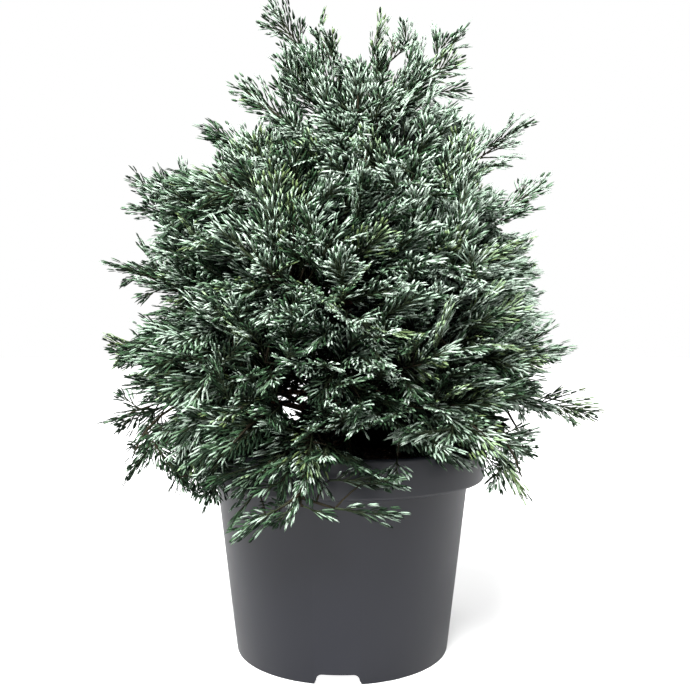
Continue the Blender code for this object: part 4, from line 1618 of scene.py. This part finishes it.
class Growth:
    """Grows one mass's twigs and plumes by a seeded rule."""

    def __init__(self, axis: Axis, space: CrownSpace, habit: Habit, crowd: Crowd) -> None:
        """Starts a mass.

        Args:
            axis: The mass's axis.
            space: The room that it has.
            habit: How it grows.
            crowd: The places of all plumes.
        """
        self.axis, self.space, self.habit, self.crowd = axis, space, habit, crowd
        self.random = random.Random(axis.name)
        self.turn, self.level = self.random.uniform(0, math.tau), self.random.random()
        self.twigs: list[Twig] = []
        self.plumes: list[Plume] = []

    def grow_feathers(self) -> None:
        """Grows the mass's leading feathers and the plume at its stem's tip."""
        habit = self.habit
        for row in FEATHERS.get(self.axis.name, ()):
            feather = Feather(*row)
            root = self.axis.at(self.axis.along_stem(feather.share))
            run = Vector(feather.tip) - root
            curl = Vector((0, 0, feather.curl * run.length))
            length = (run - curl).length
            twig = Twig(root, (run - curl).normalized(), length, curl, habit.feather_radii)
            self.twigs.append(twig)
            self.clothe(twig, min(feather.length, habit.feather_cover * length), leading=True)
        start = self.axis.at(self.axis.along_stem(habit.stem_tip))
        run = self.axis.tip - start
        self.clothe(Twig(start, run.normalized(), run.length, Vector()), habit.plume_length, leading=True)

    def grow(self) -> None:
        """Grows one round of side twigs all round the stem."""
        for _ in range(self.axis.twigs):
            self.turn += GOLDEN_ANGLE
            self.level = (self.level + GOLDEN_SHARE) % 1.0
            self.grow_twig(self.level, self.turn)

    def grow_twig(self, level: float, turn: float) -> None:
        """Grows one side twig if there is room.

        Args:
            level: The share of the stem, from its root to its tip.
            turn: The turn round the stem.
        """
        habit = self.habit
        along = self.axis.along_stem(habit.first_twig + (habit.last_twig - habit.first_twig) * level)
        slant = math.radians(habit.twig_slants[0] + (habit.twig_slants[1] - habit.twig_slants[0]) * level)
        ahead = self.axis.ahead(along)
        direction = outwards(ahead, slant, turn) - Vector((0, 0, self.axis.droop))
        direction.normalize()
        root = self.axis.at(along)
        reach = self.space.room(self.axis, root, direction, self.axis.spread)
        reach *= self.random.uniform(*habit.twig_reaches)
        if reach < habit.shortest_twig:
            return
        twig = Twig(root, direction, reach, habit.twig_curl * reach * ahead)
        self.clothe(twig, habit.plume_length)
        if twig.shown > 0.0:
            self.twigs.append(twig)

    def clothe(self, twig: Twig, longest: float, leading: bool = False) -> None:
        """Sets a plume at a twig's tip, and plumes at its sides by turns.

        Args:
            twig: The twig.
            longest: The plume's length at the tip.
            leading: Whether the tip's plume may leave the outline.
        """
        habit = self.habit
        length = min(longest * (1.0 if leading else self.random.uniform(*habit.tip_lengths)), twig.length)
        start = 1.0 - length / twig.length
        taken = self.add_plume(twig.at(start), (twig.at(1.0) - twig.at(start)).normalized(), length, leading)
        twig.shown = start if taken else 0.0
        turn = self.random.uniform(0, math.tau)
        place = twig.length - habit.side_overlap * length
        while place > 0.3 * habit.side_step:
            ahead = twig.ahead(place / twig.length)
            slant = habit.side_slant + self.random.uniform(-habit.slant_spread, habit.slant_spread)
            direction = outwards(ahead, math.radians(slant), turn)
            side_length = habit.feather_side * longest if leading else habit.side_length * habit.plume_length
            side_length *= self.random.uniform(*habit.side_lengths)
            if self.add_plume(twig.at(place / twig.length), direction, side_length, leading, leading):
                twig.shown = max(twig.shown, place / twig.length)
            turn += math.pi + self.random.uniform(-habit.turn_spread, habit.turn_spread)
            place -= habit.side_step * self.random.uniform(*habit.side_steps)

    def add_plume(
        self, root: Vector, ahead: Vector, longest: float, leading: bool, crowded: bool = False,
    ) -> bool:
        """Adds a plume if there is room, after trying a few rolls and smaller sizes.

        Args:
            root: Where it leaves the twig.
            ahead: Its direction.
            longest: The most that it may reach.
            leading: Whether it may leave the outline.
            crowded: Whether a leading plume keeps its distance from others all the same.

        Returns:
            True if there was room.
        """
        habit = self.habit
        reach = longest if leading else self.space.room(self.axis, root, ahead, longest)
        middle = np.array(root + 0.6 * reach * ahead)
        depth = self.space.depth_at(middle)
        free = leading and (depth < 0.0 or not crowded)
        if reach < habit.shortest_plume or not (free or self.crowd.admits(middle, depth)):
            return False
        for shrink in habit.plume_sizes:
            length = reach * shrink - habit.needle_margin
            plume = Plume.rolled(root, ahead, length, habit, self.random)
            if self.fits(plume, leading):
                plume.vigour = self.vigour_at(plume.at(0.7))
                self.plumes.append(plume)
                self.crowd.add(middle)
                return True
        return False

    def fits(self, plume: Plume, leading: bool) -> bool:
        """Tells if a plume keeps to its room.

        Args:
            plume: The plume.
            leading: Whether it may leave the outline.

        Returns:
            True if it does.
        """
        half = self.habit.plume_width * plume.length
        places = [plume.at(along, side * half) for along in (0.35, 0.6, 0.8) for side in (-1, 1)]
        places = np.array(places + [plume.at(along) for along in (0.5, 0.8, 1.0)])
        clear = self.space.clear_outside(places)
        return bool((clear if leading else clear & self.space.in_outline(places)).all())

    def vigour_at(self, place: Vector) -> Vigour:
        """Picks the kind of the plume at a place: painted shade inside the crown, and most frosted at its
        right and top as painted light from the upper right.

        Args:
            place: A point of the plume.

        Returns:
            The kind.
        """
        habit = self.habit
        limit = habit.inner_depth + habit.inner_spread * self.random.random()
        # Plumes deep inside the crown are dealt painted shade.
        if self.space.depth_at(place) > limit + max(0.0, habit.thin_rise * (place.z - habit.thin_top)):
            return Vigour.INNER
        # Painted light: more frosted plumes to the right and upwards.
        rise = habit.painted_light_frost_up * (place.z - habit.frosted_level)
        frosted = habit.frosted + habit.frosted_to_right * place.x + rise
        pick = self.random.random()
        if pick < habit.young:
            return Vigour.YOUNG
        return Vigour.FROSTED if pick < habit.young + frosted else Vigour.LEAFY


@dataclass
class Infill:
    """Carries the twigs on to finer ones wherever the crown is still thin."""

    growths: list[Growth]
    habit: Habit
    seed: int = 3
    tries: int = 9000
    box_corner: Triple = (-0.16, -0.148, 0.095)  # of the box that holds them
    box_size: Triple = (0.33, 0.30, 0.32)
    sweep_heights: Floats = (0.10, 0.14, 0.20, 0.30, 0.35, 0.40)
    sweep_lifts: Floats = (-0.6, -0.2, 0.0, 0.25, 0.7, 2.0)  # how steeply shoots rise there
    shortest: float = 0.012
    turn_cost: float = 0.04  # in metres, for a twig that points the other way
    onward: float = 0.5
    sweep_share: float = 0.6
    wander: float = 0.28
    lengths: Pair = (0.85, 1.15)
    sizes: Floats = (1.0, 0.82, 0.66, 0.52)
    middle: float = 0.55
    curl: float = 0.25

    def __post_init__(self) -> None:
        """Gathers what the new twigs may start from."""
        self.space, self.crowd = self.growths[0].space, self.growths[0].crowd
        self.random = random.Random(self.seed)
        wood = []
        for growth in self.growths:
            axis = growth.axis
            wood += [(axis, axis.along_stem(share)) for share in np.linspace(0.05, 0.95, 16).tolist()]
            wood += [(twig, share) for twig in growth.twigs for share in (0.15, 0.35, 0.55, 0.75)]
        self.points = np.array([line.at(share) for line, share in wood])
        self.aheads = np.array([line.ahead(share) for line, share in wood])

    def sweep(self, place: Vector) -> Vector:
        """Gives the direction in which the crown grows there: outwards, hanging below, upright on top.

        Args:
            place: The place.

        Returns:
            The unit direction.
        """
        lift = float(np.interp(place.z, self.sweep_heights, self.sweep_lifts))
        outward = Vector((place.x, place.y, 0.0))
        outward = outward.normalized() if outward.length > 0.01 else Vector((0, 0, 0))
        return (outward + Vector((0, 0, lift))).normalized()

    def grow(self) -> None:
        """Tries places all over the crown's box, and grows a twig and its plume to each thin one."""
        for number in range(1, self.tries):
            shares = [(number * step) % 1.0 for step in EVEN_STEPS]
            box = zip(self.box_corner, self.box_size, shares)
            place = Vector([corner + size * share for corner, size, share in box])
            spot = np.array([place])
            if self.space.in_outline(spot)[0] and self.crowd.admits(spot[0], self.space.depth_at(place)):
                self.grow_to(place)

    def nearest_root(self, place: Vector) -> Vector:
        """Gives the point of the wood from which the way to a place is shortest and straightest.

        Args:
            place: The place.

        Returns:
            The point.
        """
        runs = np.array(place) - self.points
        spans = np.linalg.norm(runs, axis=1)
        along = np.sum(runs * self.aheads, axis=1) / np.maximum(spans, 1e-6)
        cost = spans + self.turn_cost * (1.0 - along) + np.where(spans < self.shortest, 1.0, 0.0)
        return Vector(self.points[int(np.argmin(cost))])

    def grow_to(self, place: Vector) -> None:
        """Grows a twig and its plume to a place.

        Args:
            place: The plume's middle.
        """
        growth = self.growths[int(np.argmin(self.space.from_stems(np.array([place]))[0]))]
        root = self.nearest_root(place)
        wander = Vector([self.random.uniform(-self.wander, self.wander) for _ in range(3)])
        onward = self.onward * (place - root).normalized()
        ahead = (onward + self.sweep_share * self.sweep(place) + wander).normalized()
        longest = self.habit.plume_length * self.random.uniform(*self.lengths)
        for shrink in self.sizes:
            length = longest * shrink
            foot = place - self.middle * length * ahead
            plume = Plume.rolled(foot, ahead, length, self.habit, self.random)
            run = foot - root
            curl = self.curl * run.length * ahead
            twig = Twig(root, (run - curl).normalized(), (run - curl).length, curl)
            bends = np.array([twig.at(share) for share in (0.4, 0.7)])
            if growth.fits(plume, False) and self.space.clear_outside(bends).all():
                plume.vigour = growth.vigour_at(plume.at(0.7))
                growth.plumes.append(plume)
                growth.twigs.append(twig)
                self.crowd.add(np.array(place))
                return


# --- Foliage ---


def unit(vectors: Array) -> Array:
    """Scales vectors to length 1."""
    return vectors / np.maximum(np.linalg.norm(vectors, axis=-1, keepdims=True), 1e-9)


@dataclass
class Shootlets:
    """Many short shoots: one row for each in every array."""

    root: Array
    ahead: Array
    side: Array
    face: Array
    length: Array
    curve: Array  # how far the tip bends off the straight line
    plume: Array  # number of the plume that each belongs to

    def at(self, rows: Array, share: Array) -> Array:
        """Gives points on some of the shoots.

        Args:
            rows: The shoots' row numbers.
            share: The share of the way out on each.

        Returns:
            The points.
        """
        share = share[:, None]
        straight = self.root[rows] + share * self.length[rows, None] * self.ahead[rows]
        return straight + share * share * self.curve[rows]

    def direction(self, rows: Array, share: Array) -> Array:
        """Gives the unit directions of growth there."""
        return unit(self.length[rows, None] * self.ahead[rows] + 2 * share[:, None] * self.curve[rows])

    def joined(self, other: "Shootlets") -> "Shootlets":
        """Gives these shoots and the other ones together."""
        pairs = [(getattr(self, key), getattr(other, key)) for key in self.__annotations__]
        return Shootlets(*(np.concatenate(pair) for pair in pairs))


def spread_out(counts: Array) -> tuple[Array, Array]:
    """Gives each member's group, and its number in the group, for groups of these sizes."""
    rows = np.repeat(np.arange(len(counts)), counts)
    return rows, np.arange(len(rows)) - np.repeat(np.cumsum(counts) - counts, counts)


@dataclass
class Foliage:
    """All plumes of the crown, grown out to needles and joined by tone."""

    plumes: list[Plume]
    twigs: list[Twig]
    habit: Habit
    nodes: list[str]
    blade: Blade = Blade()
    seed: int = 7
    tip_share: float = 0.62  # where a rachis gives way to its last shootlet
    inner_step: float = 2.1  # how much further apart, and wider, inner needles are
    # What is added to a needle's draw, which goes from the palest tone at 0 to the darkest at 1
    edge_tone: float = -0.18
    upper_tone: float = 0.24
    # The lower face's needles are drawn darker: painted shade under the shoot.
    underside_painted_shade: float = 0.45
    mottle: float = 0.10  # how much the plumes differ
    fleck: float = 0.07  # how much a shootlet's own needles differ
    low_tone: float = 0.28  # darker at the foot of the crown: painted shade, and partly the older plumes there
    low_heights: Pair = (0.12, 0.20)  # from all of it to none
    side_tone: float = 1.7  # less for each metre to the right: painted light from the right
    shoot_girths: Pair = (0.00080, 0.00060)  # of rachises and shootlets
    stem_radii: Pair = (0.0015, 0.0005)
    stem_end: float = 0.90  # the share of a stem that is built

    def __post_init__(self) -> None:
        """Gathers the plumes into arrays."""
        self.dice = np.random.default_rng(self.seed)
        self.root, self.ahead, self.face, self.side, self.length, self.bend = (
            np.array([getattr(plume, key) for plume in self.plumes])
            for key in ("root", "ahead", "face", "side", "length", "bend")
        )
        self.vigour = np.array([list(Vigour).index(plume.vigour) for plume in self.plumes])
        self.inner = self.vigour == list(Vigour).index(Vigour.INNER)

    def rachises(self) -> Shootlets:
        """Gives the plumes' own shoots."""
        curve = (self.bend * self.length)[:, None] * self.face
        rows = np.arange(len(self.root))
        return Shootlets(self.root, self.ahead, self.side, self.face, self.length, curve, rows)

    def last_shootlets(self, rachises: Shootlets) -> Shootlets:
        """Gives the last stretch of every rachis as a shootlet.

        Args:
            rachises: The plumes' own shoots.

        Returns:
            The shootlets.
        """
        rows = np.arange(len(self.root))
        share = np.full(len(rows), self.tip_share)
        start, end = rachises.at(rows, share), rachises.at(rows, np.ones(len(rows)))
        run = end - start
        length = np.linalg.norm(run, axis=1)
        return Shootlets(start, unit(run), self.side, self.face, length, np.zeros_like(run), rows)

    def side_shootlets(self, rachises: Shootlets) -> Shootlets:
        """Grows the shootlets that leave every rachis by turns.

        Args:
            rachises: The plumes' own shoots.

        Returns:
            The side shootlets.
        """
        habit = self.habit
        counts = np.maximum(((self.length - habit.first_shootlet) / habit.shootlet_step).astype(int), 2)
        rows, order = spread_out(counts)
        face = self.face[rows]
        share = (habit.first_shootlet + habit.shootlet_step * order) / self.length[rows]
        shift = self.dice.uniform(-habit.shootlet_shift, habit.shootlet_shift, len(rows))
        share = np.minimum(share + shift, habit.last_shootlet)
        hand = np.where(order % 2 == 0, 1.0, -1.0)[:, None]
        low, high = habit.shootlet_slants
        spread = self.dice.uniform(-habit.shootlet_spread, habit.shootlet_spread, len(rows))
        slant = np.radians(low + (high - low) * share + spread)[:, None]
        forward = rachises.direction(rows, share)
        lift = self.dice.normal(0.0, habit.shootlet_lift, (len(rows), 1))
        ahead = unit(np.cos(slant) * forward + np.sin(slant) * hand * self.side[rows] + lift * face)
        longest = np.minimum(habit.longest_shootlet, habit.shootlet_share * self.length[rows])
        length = longest * self.plume_outline(share) * self.dice.uniform(*habit.shootlet_lengths, len(rows))
        curve = habit.shootlet_curve * length[:, None] * forward
        root, side = rachises.at(rows, share), unit(np.cross(ahead, face))
        return Shootlets(root, ahead, side, face, length, curve, rows)

    @staticmethod
    def plume_outline(share: Array) -> Array:
        """Gives a plume's width at a share of its length, widest near its root and blunt at its tip."""
        return np.minimum(1.0, 0.50 + 2.4 * share) * np.clip(1.22 - share, 0.30, 1.0) ** 0.8

    def build_needles(self, shoots: Shootlets) -> None:
        """Grows pairs of needles along every shoot, each pair a quarter turn from the last, and dresses them.

        Args:
            shoots: The shoots.
        """
        blade = self.blade
        step = blade.step * np.where(self.inner[shoots.plume], self.inner_step, 1.0)
        rows, order = spread_out(np.maximum(np.ceil(shoots.length / step).astype(int), 2))
        share = np.minimum((order + 0.5) * (step / shoots.length)[rows], blade.last)
        rows, order, share = (np.repeat(values, 2) for values in (rows, order, share))
        count = len(rows)
        hand = np.where(np.arange(count) % 2 == 0, 1.0, -1.0)
        edge = order % 2 == 0
        forward = shoots.direction(rows, share)
        aside = np.where(edge[:, None], shoots.side[rows], shoots.face[rows])
        turn = self.dice.uniform(-blade.turn_spread, blade.turn_spread, (count, 1))
        aside = hand[:, None] * unit(aside + turn * np.cross(forward, aside))
        low, high = blade.slants
        spread = self.dice.uniform(-blade.slant_spread, blade.slant_spread, count)
        slant = low + (high - low) * share + spread
        slant = np.radians(slant * np.where(edge, 1.0, blade.face_slant))[:, None]
        ahead = unit(np.cos(slant) * forward + np.sin(slant) * aside)
        roll = self.dice.uniform(-blade.roll_spread, blade.roll_spread, (count, 1))
        outer = np.where(edge[:, None], shoots.face[rows], aside)
        broad = unit(np.cross(ahead, outer) + roll * outer)
        length = blade.length * np.where(edge, *blade.lengths) * (1.0 - blade.taper * share)
        length *= self.dice.uniform(*blade.length_spread, count)
        width = blade.width * np.where(edge, *blade.widths) * self.dice.uniform(*blade.width_spread, count)
        width *= np.where(self.inner[shoots.plume[rows]], self.inner_step, 1.0)
        root = shoots.at(rows, share) + (blade.edge_gap * hand * edge)[:, None] * shoots.side[rows]
        corners = blade.corners(root, ahead, broad, length, width)
        tones = self.deal_tones(shoots, rows, edge, hand)
        for number, tone in enumerate(Tone):
            chosen = corners[tones == number]
            name = tone.name.lower()
            if len(chosen):
                finish = Leafage(f"needle_{name}", tone.value).build()
                self.build_pieces(f"needles_{name}", chosen, np.array(blade.faces), finish)

    def build_pieces(self, name: str, corners: Array, faces: Array, finish: Material) -> None:
        """Joins and dresses many copies of a small green shape, given as (shape, corner, 3)."""
        for piece in join_shapes(name, corners, faces):
            take_in(piece, finish, self.nodes)

    def deal_tones(self, shoots: Shootlets, rows: Array, edge: Array, hand: Array) -> Array:
        """Deals a tone to each needle: by its plume's kind and its shootlet, palest at the shoot's edges,
        with painted shade on the shoots' lower faces, painted shade and older plumes at the crown's foot, and
        painted light to the right.

        Args:
            shoots: The shootlets.
            rows: The number of each needle's shootlet.
            edge: Whether each needle stands at its shoot's edge.
            hand: Which of its pair it is: 1 for the upper one on a shoot's face.

        Returns:
            The number of each needle's tone.
        """
        shares = np.array([[kind.value.get(tone, 0.0) for tone in Tone] for kind in Vigour])
        limits = np.cumsum(shares, axis=1) / shares.sum(axis=1, keepdims=True)
        draw = self.dice.random(len(shoots.plume))[rows] + self.dice.normal(0.0, self.fleck, len(rows))
        # The lower face's needles are dealt darker tones: painted shade under the shoot.
        draw += np.where(edge, self.edge_tone, np.where(hand > 0, self.upper_tone, self.underside_painted_shade))
        plume = shoots.plume[rows]
        # Painted shade at the foot of the crown, partly the older plumes there.
        foot, top = self.low_heights
        low = np.clip((top - self.root[:, 2]) / (top - foot), 0.0, 1.0)
        # Painted light: plumes are dealt paler tones the further right they stand.
        darker = self.low_tone * low - self.side_tone * self.root[:, 0]
        darker += self.dice.normal(0.0, self.mottle, len(self.plumes))
        draw = np.clip(draw + darker[plume], 0.0, 0.999)
        return (draw[:, None] > limits[self.vigour[plume]]).sum(axis=1)

    def build_shoots(self, shoots: Shootlets) -> None:
        """Builds the green shoots under the needles, each a slim spike of four faces.

        Args:
            shoots: The shoots.
        """
        tip = shoots.at(np.arange(len(shoots.length)), np.ones(len(shoots.length)))
        rachis = shoots.length > 1.1 * self.habit.longest_shootlet
        girth = np.where(rachis, *self.shoot_girths)[:, None]
        ring = [
            shoots.root + girth * (math.cos(turn) * shoots.side + math.sin(turn) * shoots.face)
            for turn in (0.0, math.tau / 3, 2 * math.tau / 3)
        ]
        corners = np.stack((*ring, tip), axis=1)
        faces = np.array([(0, 2, 1), (0, 1, 3), (1, 2, 3), (2, 0, 3)])
        self.build_pieces("green_shoots", corners, faces, SHOOTS.build())

    def build_twigs(self, axes: list[Axis]) -> None:
        """Builds the woody stems and side twigs as three-sided limbs.

        Args:
            axes: The masses' axes, which their stems follow.
        """
        lines = []
        for axis in axes:
            shares = np.linspace(0.0, self.stem_end, 9).tolist()
            lines.append((np.array([axis.at(axis.along_stem(share)) for share in shares]), self.stem_radii))
        for twig in self.twigs:
            path = [twig.at(share * twig.shown) for share in (0.0, 0.33, 0.67, 1.0)]
            lines.append((np.array(path), twig.radii))
        points, triangles, total = [], [], 0
        for path, radii in lines:
            corners, faces = self.three_sided(path, radii)
            points.append(corners)
            triangles.append(faces + total)
            total += len(corners)
        piece = object_from_arrays("woody_twigs", np.concatenate(points), np.concatenate(triangles))
        take_in(piece, TWIGS.build(), self.nodes)

    @staticmethod
    def three_sided(path: Array, radii: Pair) -> tuple[Array, Array]:
        """Shapes a closed three-sided limb.

        Args:
            path: Its centre points.
            radii: Its radius at the root and at the tip.

        Returns:
            The corners and the triangles.
        """
        ahead = unit(np.gradient(path, axis=0))
        side = unit(np.cross(ahead, np.array((0.13, 0.21, 0.97))))
        up = np.cross(side, ahead)
        girth = np.linspace(*radii, len(path))[:, None]
        turns = np.arange(3) * math.tau / 3
        rings = [path + girth * (math.cos(turn) * side + math.sin(turn) * up) for turn in turns]
        corners = np.stack(rings, axis=1).reshape(-1, 3)
        faces = [(0, 2, 1)]
        for ring in range(len(path) - 1):
            for corner in range(3):
                low, after = 3 * ring + corner, 3 * ring + (corner + 1) % 3
                faces += [(low, after, after + 3), (low, after + 3, low + 3)]
        last = 3 * (len(path) - 1)
        faces.append((last, last + 1, last + 2))
        return corners, np.array(faces)

    def build(self, axes: list[Axis]) -> None:
        """Builds twigs, shoots and needles.

        Args:
            axes: The masses' axes.
        """
        rachises = self.rachises()
        shoots = self.side_shootlets(rachises).joined(self.last_shootlets(rachises))
        self.build_twigs(axes)
        self.build_shoots(shoots.joined(rachises))
        self.build_needles(shoots)


# --- Studio ---


@dataclass(frozen=True)
class Softbox:
    """A soft area light that looks at the plant."""

    name: str
    place: Triple
    size: float
    power: float

    def build(self, target: Vector) -> None:
        """Sets up the light.

        Args:
            target: What it looks at.
        """
        light = bpy.data.lights.new(self.name, "AREA")
        light.energy = self.power
        light.size = self.size
        obj = set_out(self.name, light)
        obj.location = self.place
        obj.rotation_euler = (target - Vector(self.place)).to_track_quat("-Z", "Y").to_euler()


@dataclass(frozen=True)
class Studio:
    """The camera, the pale floor and the soft light."""

    camera_place: Triple = EYE
    lens: float = 41.35
    sensor: float = 36.0
    floor_radius: float = 12.0
    back_light: float = 1.00
    front_share: float = 0.15  # of the back light, from the front and below
    bright_side: Triple = (0.12, 0.90, 0.42)
    fade: Pair = (-0.5, 0.4)  # along that direction, between front and back light
    target: Triple = (0.0, 0.0, 0.2)
    softboxes: tuple[Softbox, ...] = (
        Softbox("key_light", (-0.36, -1.15, 1.42), 0.9, 108.0),
        Softbox("left_light", (-1.6, 0.3, 0.6), 0.8, 13.0),
        Softbox("right_light", (1.6, 0.2, 1.1), 1.2, 22.0),
    )

    def build_camera(self) -> None:
        """Sets the level camera in front of the plant."""
        data = bpy.data.cameras.new("camera")
        data.lens = self.lens
        data.sensor_width = self.sensor
        data.clip_start = 0.01
        camera = set_out("camera", data)
        camera.location = self.camera_place
        camera.rotation_euler = (math.radians(90.0), 0.0, 0.0)
        bpy.context.scene.camera = camera

    def build_floor(self) -> None:
        """Lays the floor under the pot."""
        work = bmesh.new()
        bmesh.ops.create_circle(work, cap_ends=True, segments=96, radius=self.floor_radius)
        floor = object_from("studio_floor", work, None)
        floor.data.materials.append(StudioFloor().build())

    def build_world(self) -> None:
        """Surrounds the plant with soft white light."""
        world = bpy.data.worlds.new("studio")
        sheet = NodeSheet(world)
        place = sheet.add("ShaderNodeTexCoord", output="Generated")
        toward = {0: place, 1: self.bright_side}
        turned = sheet.add("ShaderNodeVectorMath", {"operation": "DOT_PRODUCT"}, toward, "Value")
        near, far = self.fade
        ranges = {"Value": turned, "From Min": near, "From Max": far, "To Min": self.front_share}
        grey = sheet.add("ShaderNodeMapRange", {"interpolation_type": "SMOOTHSTEP"}, ranges)
        background = sheet.nodes["Background"]
        sheet.feed(background.inputs["Color"], grey)
        sheet.feed(background.inputs["Strength"], self.back_light)
        white = sheet.add("ShaderNodeBackground", inputs={"Color": (1.0, 1.0, 1.0)})
        sheet.show_to_camera(white, Shade(sheet, background.outputs["Background"]), "World Output")
        bpy.context.scene.world = world
        bpy.context.scene.view_settings.view_transform = "Standard"

    def build(self) -> None:
        """Sets up the whole studio."""
        self.build_camera()
        self.build_floor()
        self.build_world()
        for softbox in self.softboxes:
            softbox.build(Vector(self.target))


def main() -> None:
    """Builds the pot, the compost, the wood, the foliage and the studio, in that order."""
    logging.basicConfig(level=logging.INFO, format="%(name)s: %(message)s")
    pot = Pot()
    pot.build(MouldedPlastic().build())
    peat = Crumb("peat", (0.026, 0.013, 0.008), (0.130, 0.066, 0.036))
    chips = Crumb("bark_chip", (0.080, 0.036, 0.020), (0.260, 0.120, 0.065))
    Compost(pot).build(peat.build(), chips.build())
    bark = Bark().build()
    trunk = Trunk()
    trunk.build(bark)
    axes = crown_axes(trunk)
    Boughs(axes).build(bark)
    space = CrownSpace(axes, trunk)
    habit = Habit()
    crowd = Crowd(habit.plume_spacings)
    growths = [Growth(axis, space, habit, crowd) for axis in axes]
    for growth in growths:
        growth.grow_feathers()
    for growth in growths:
        growth.grow()
    Infill(growths, habit).grow()
    plumes = [plume for growth in growths for plume in growth.plumes]
    twigs = [twig for growth in growths for twig in growth.twigs]
    nodes = [f"foliage_{axis.name}" for axis in axes]
    Foliage(plumes, twigs, habit, nodes).build(axes)
    Studio().build()


if __name__ == "__main__":
    main()
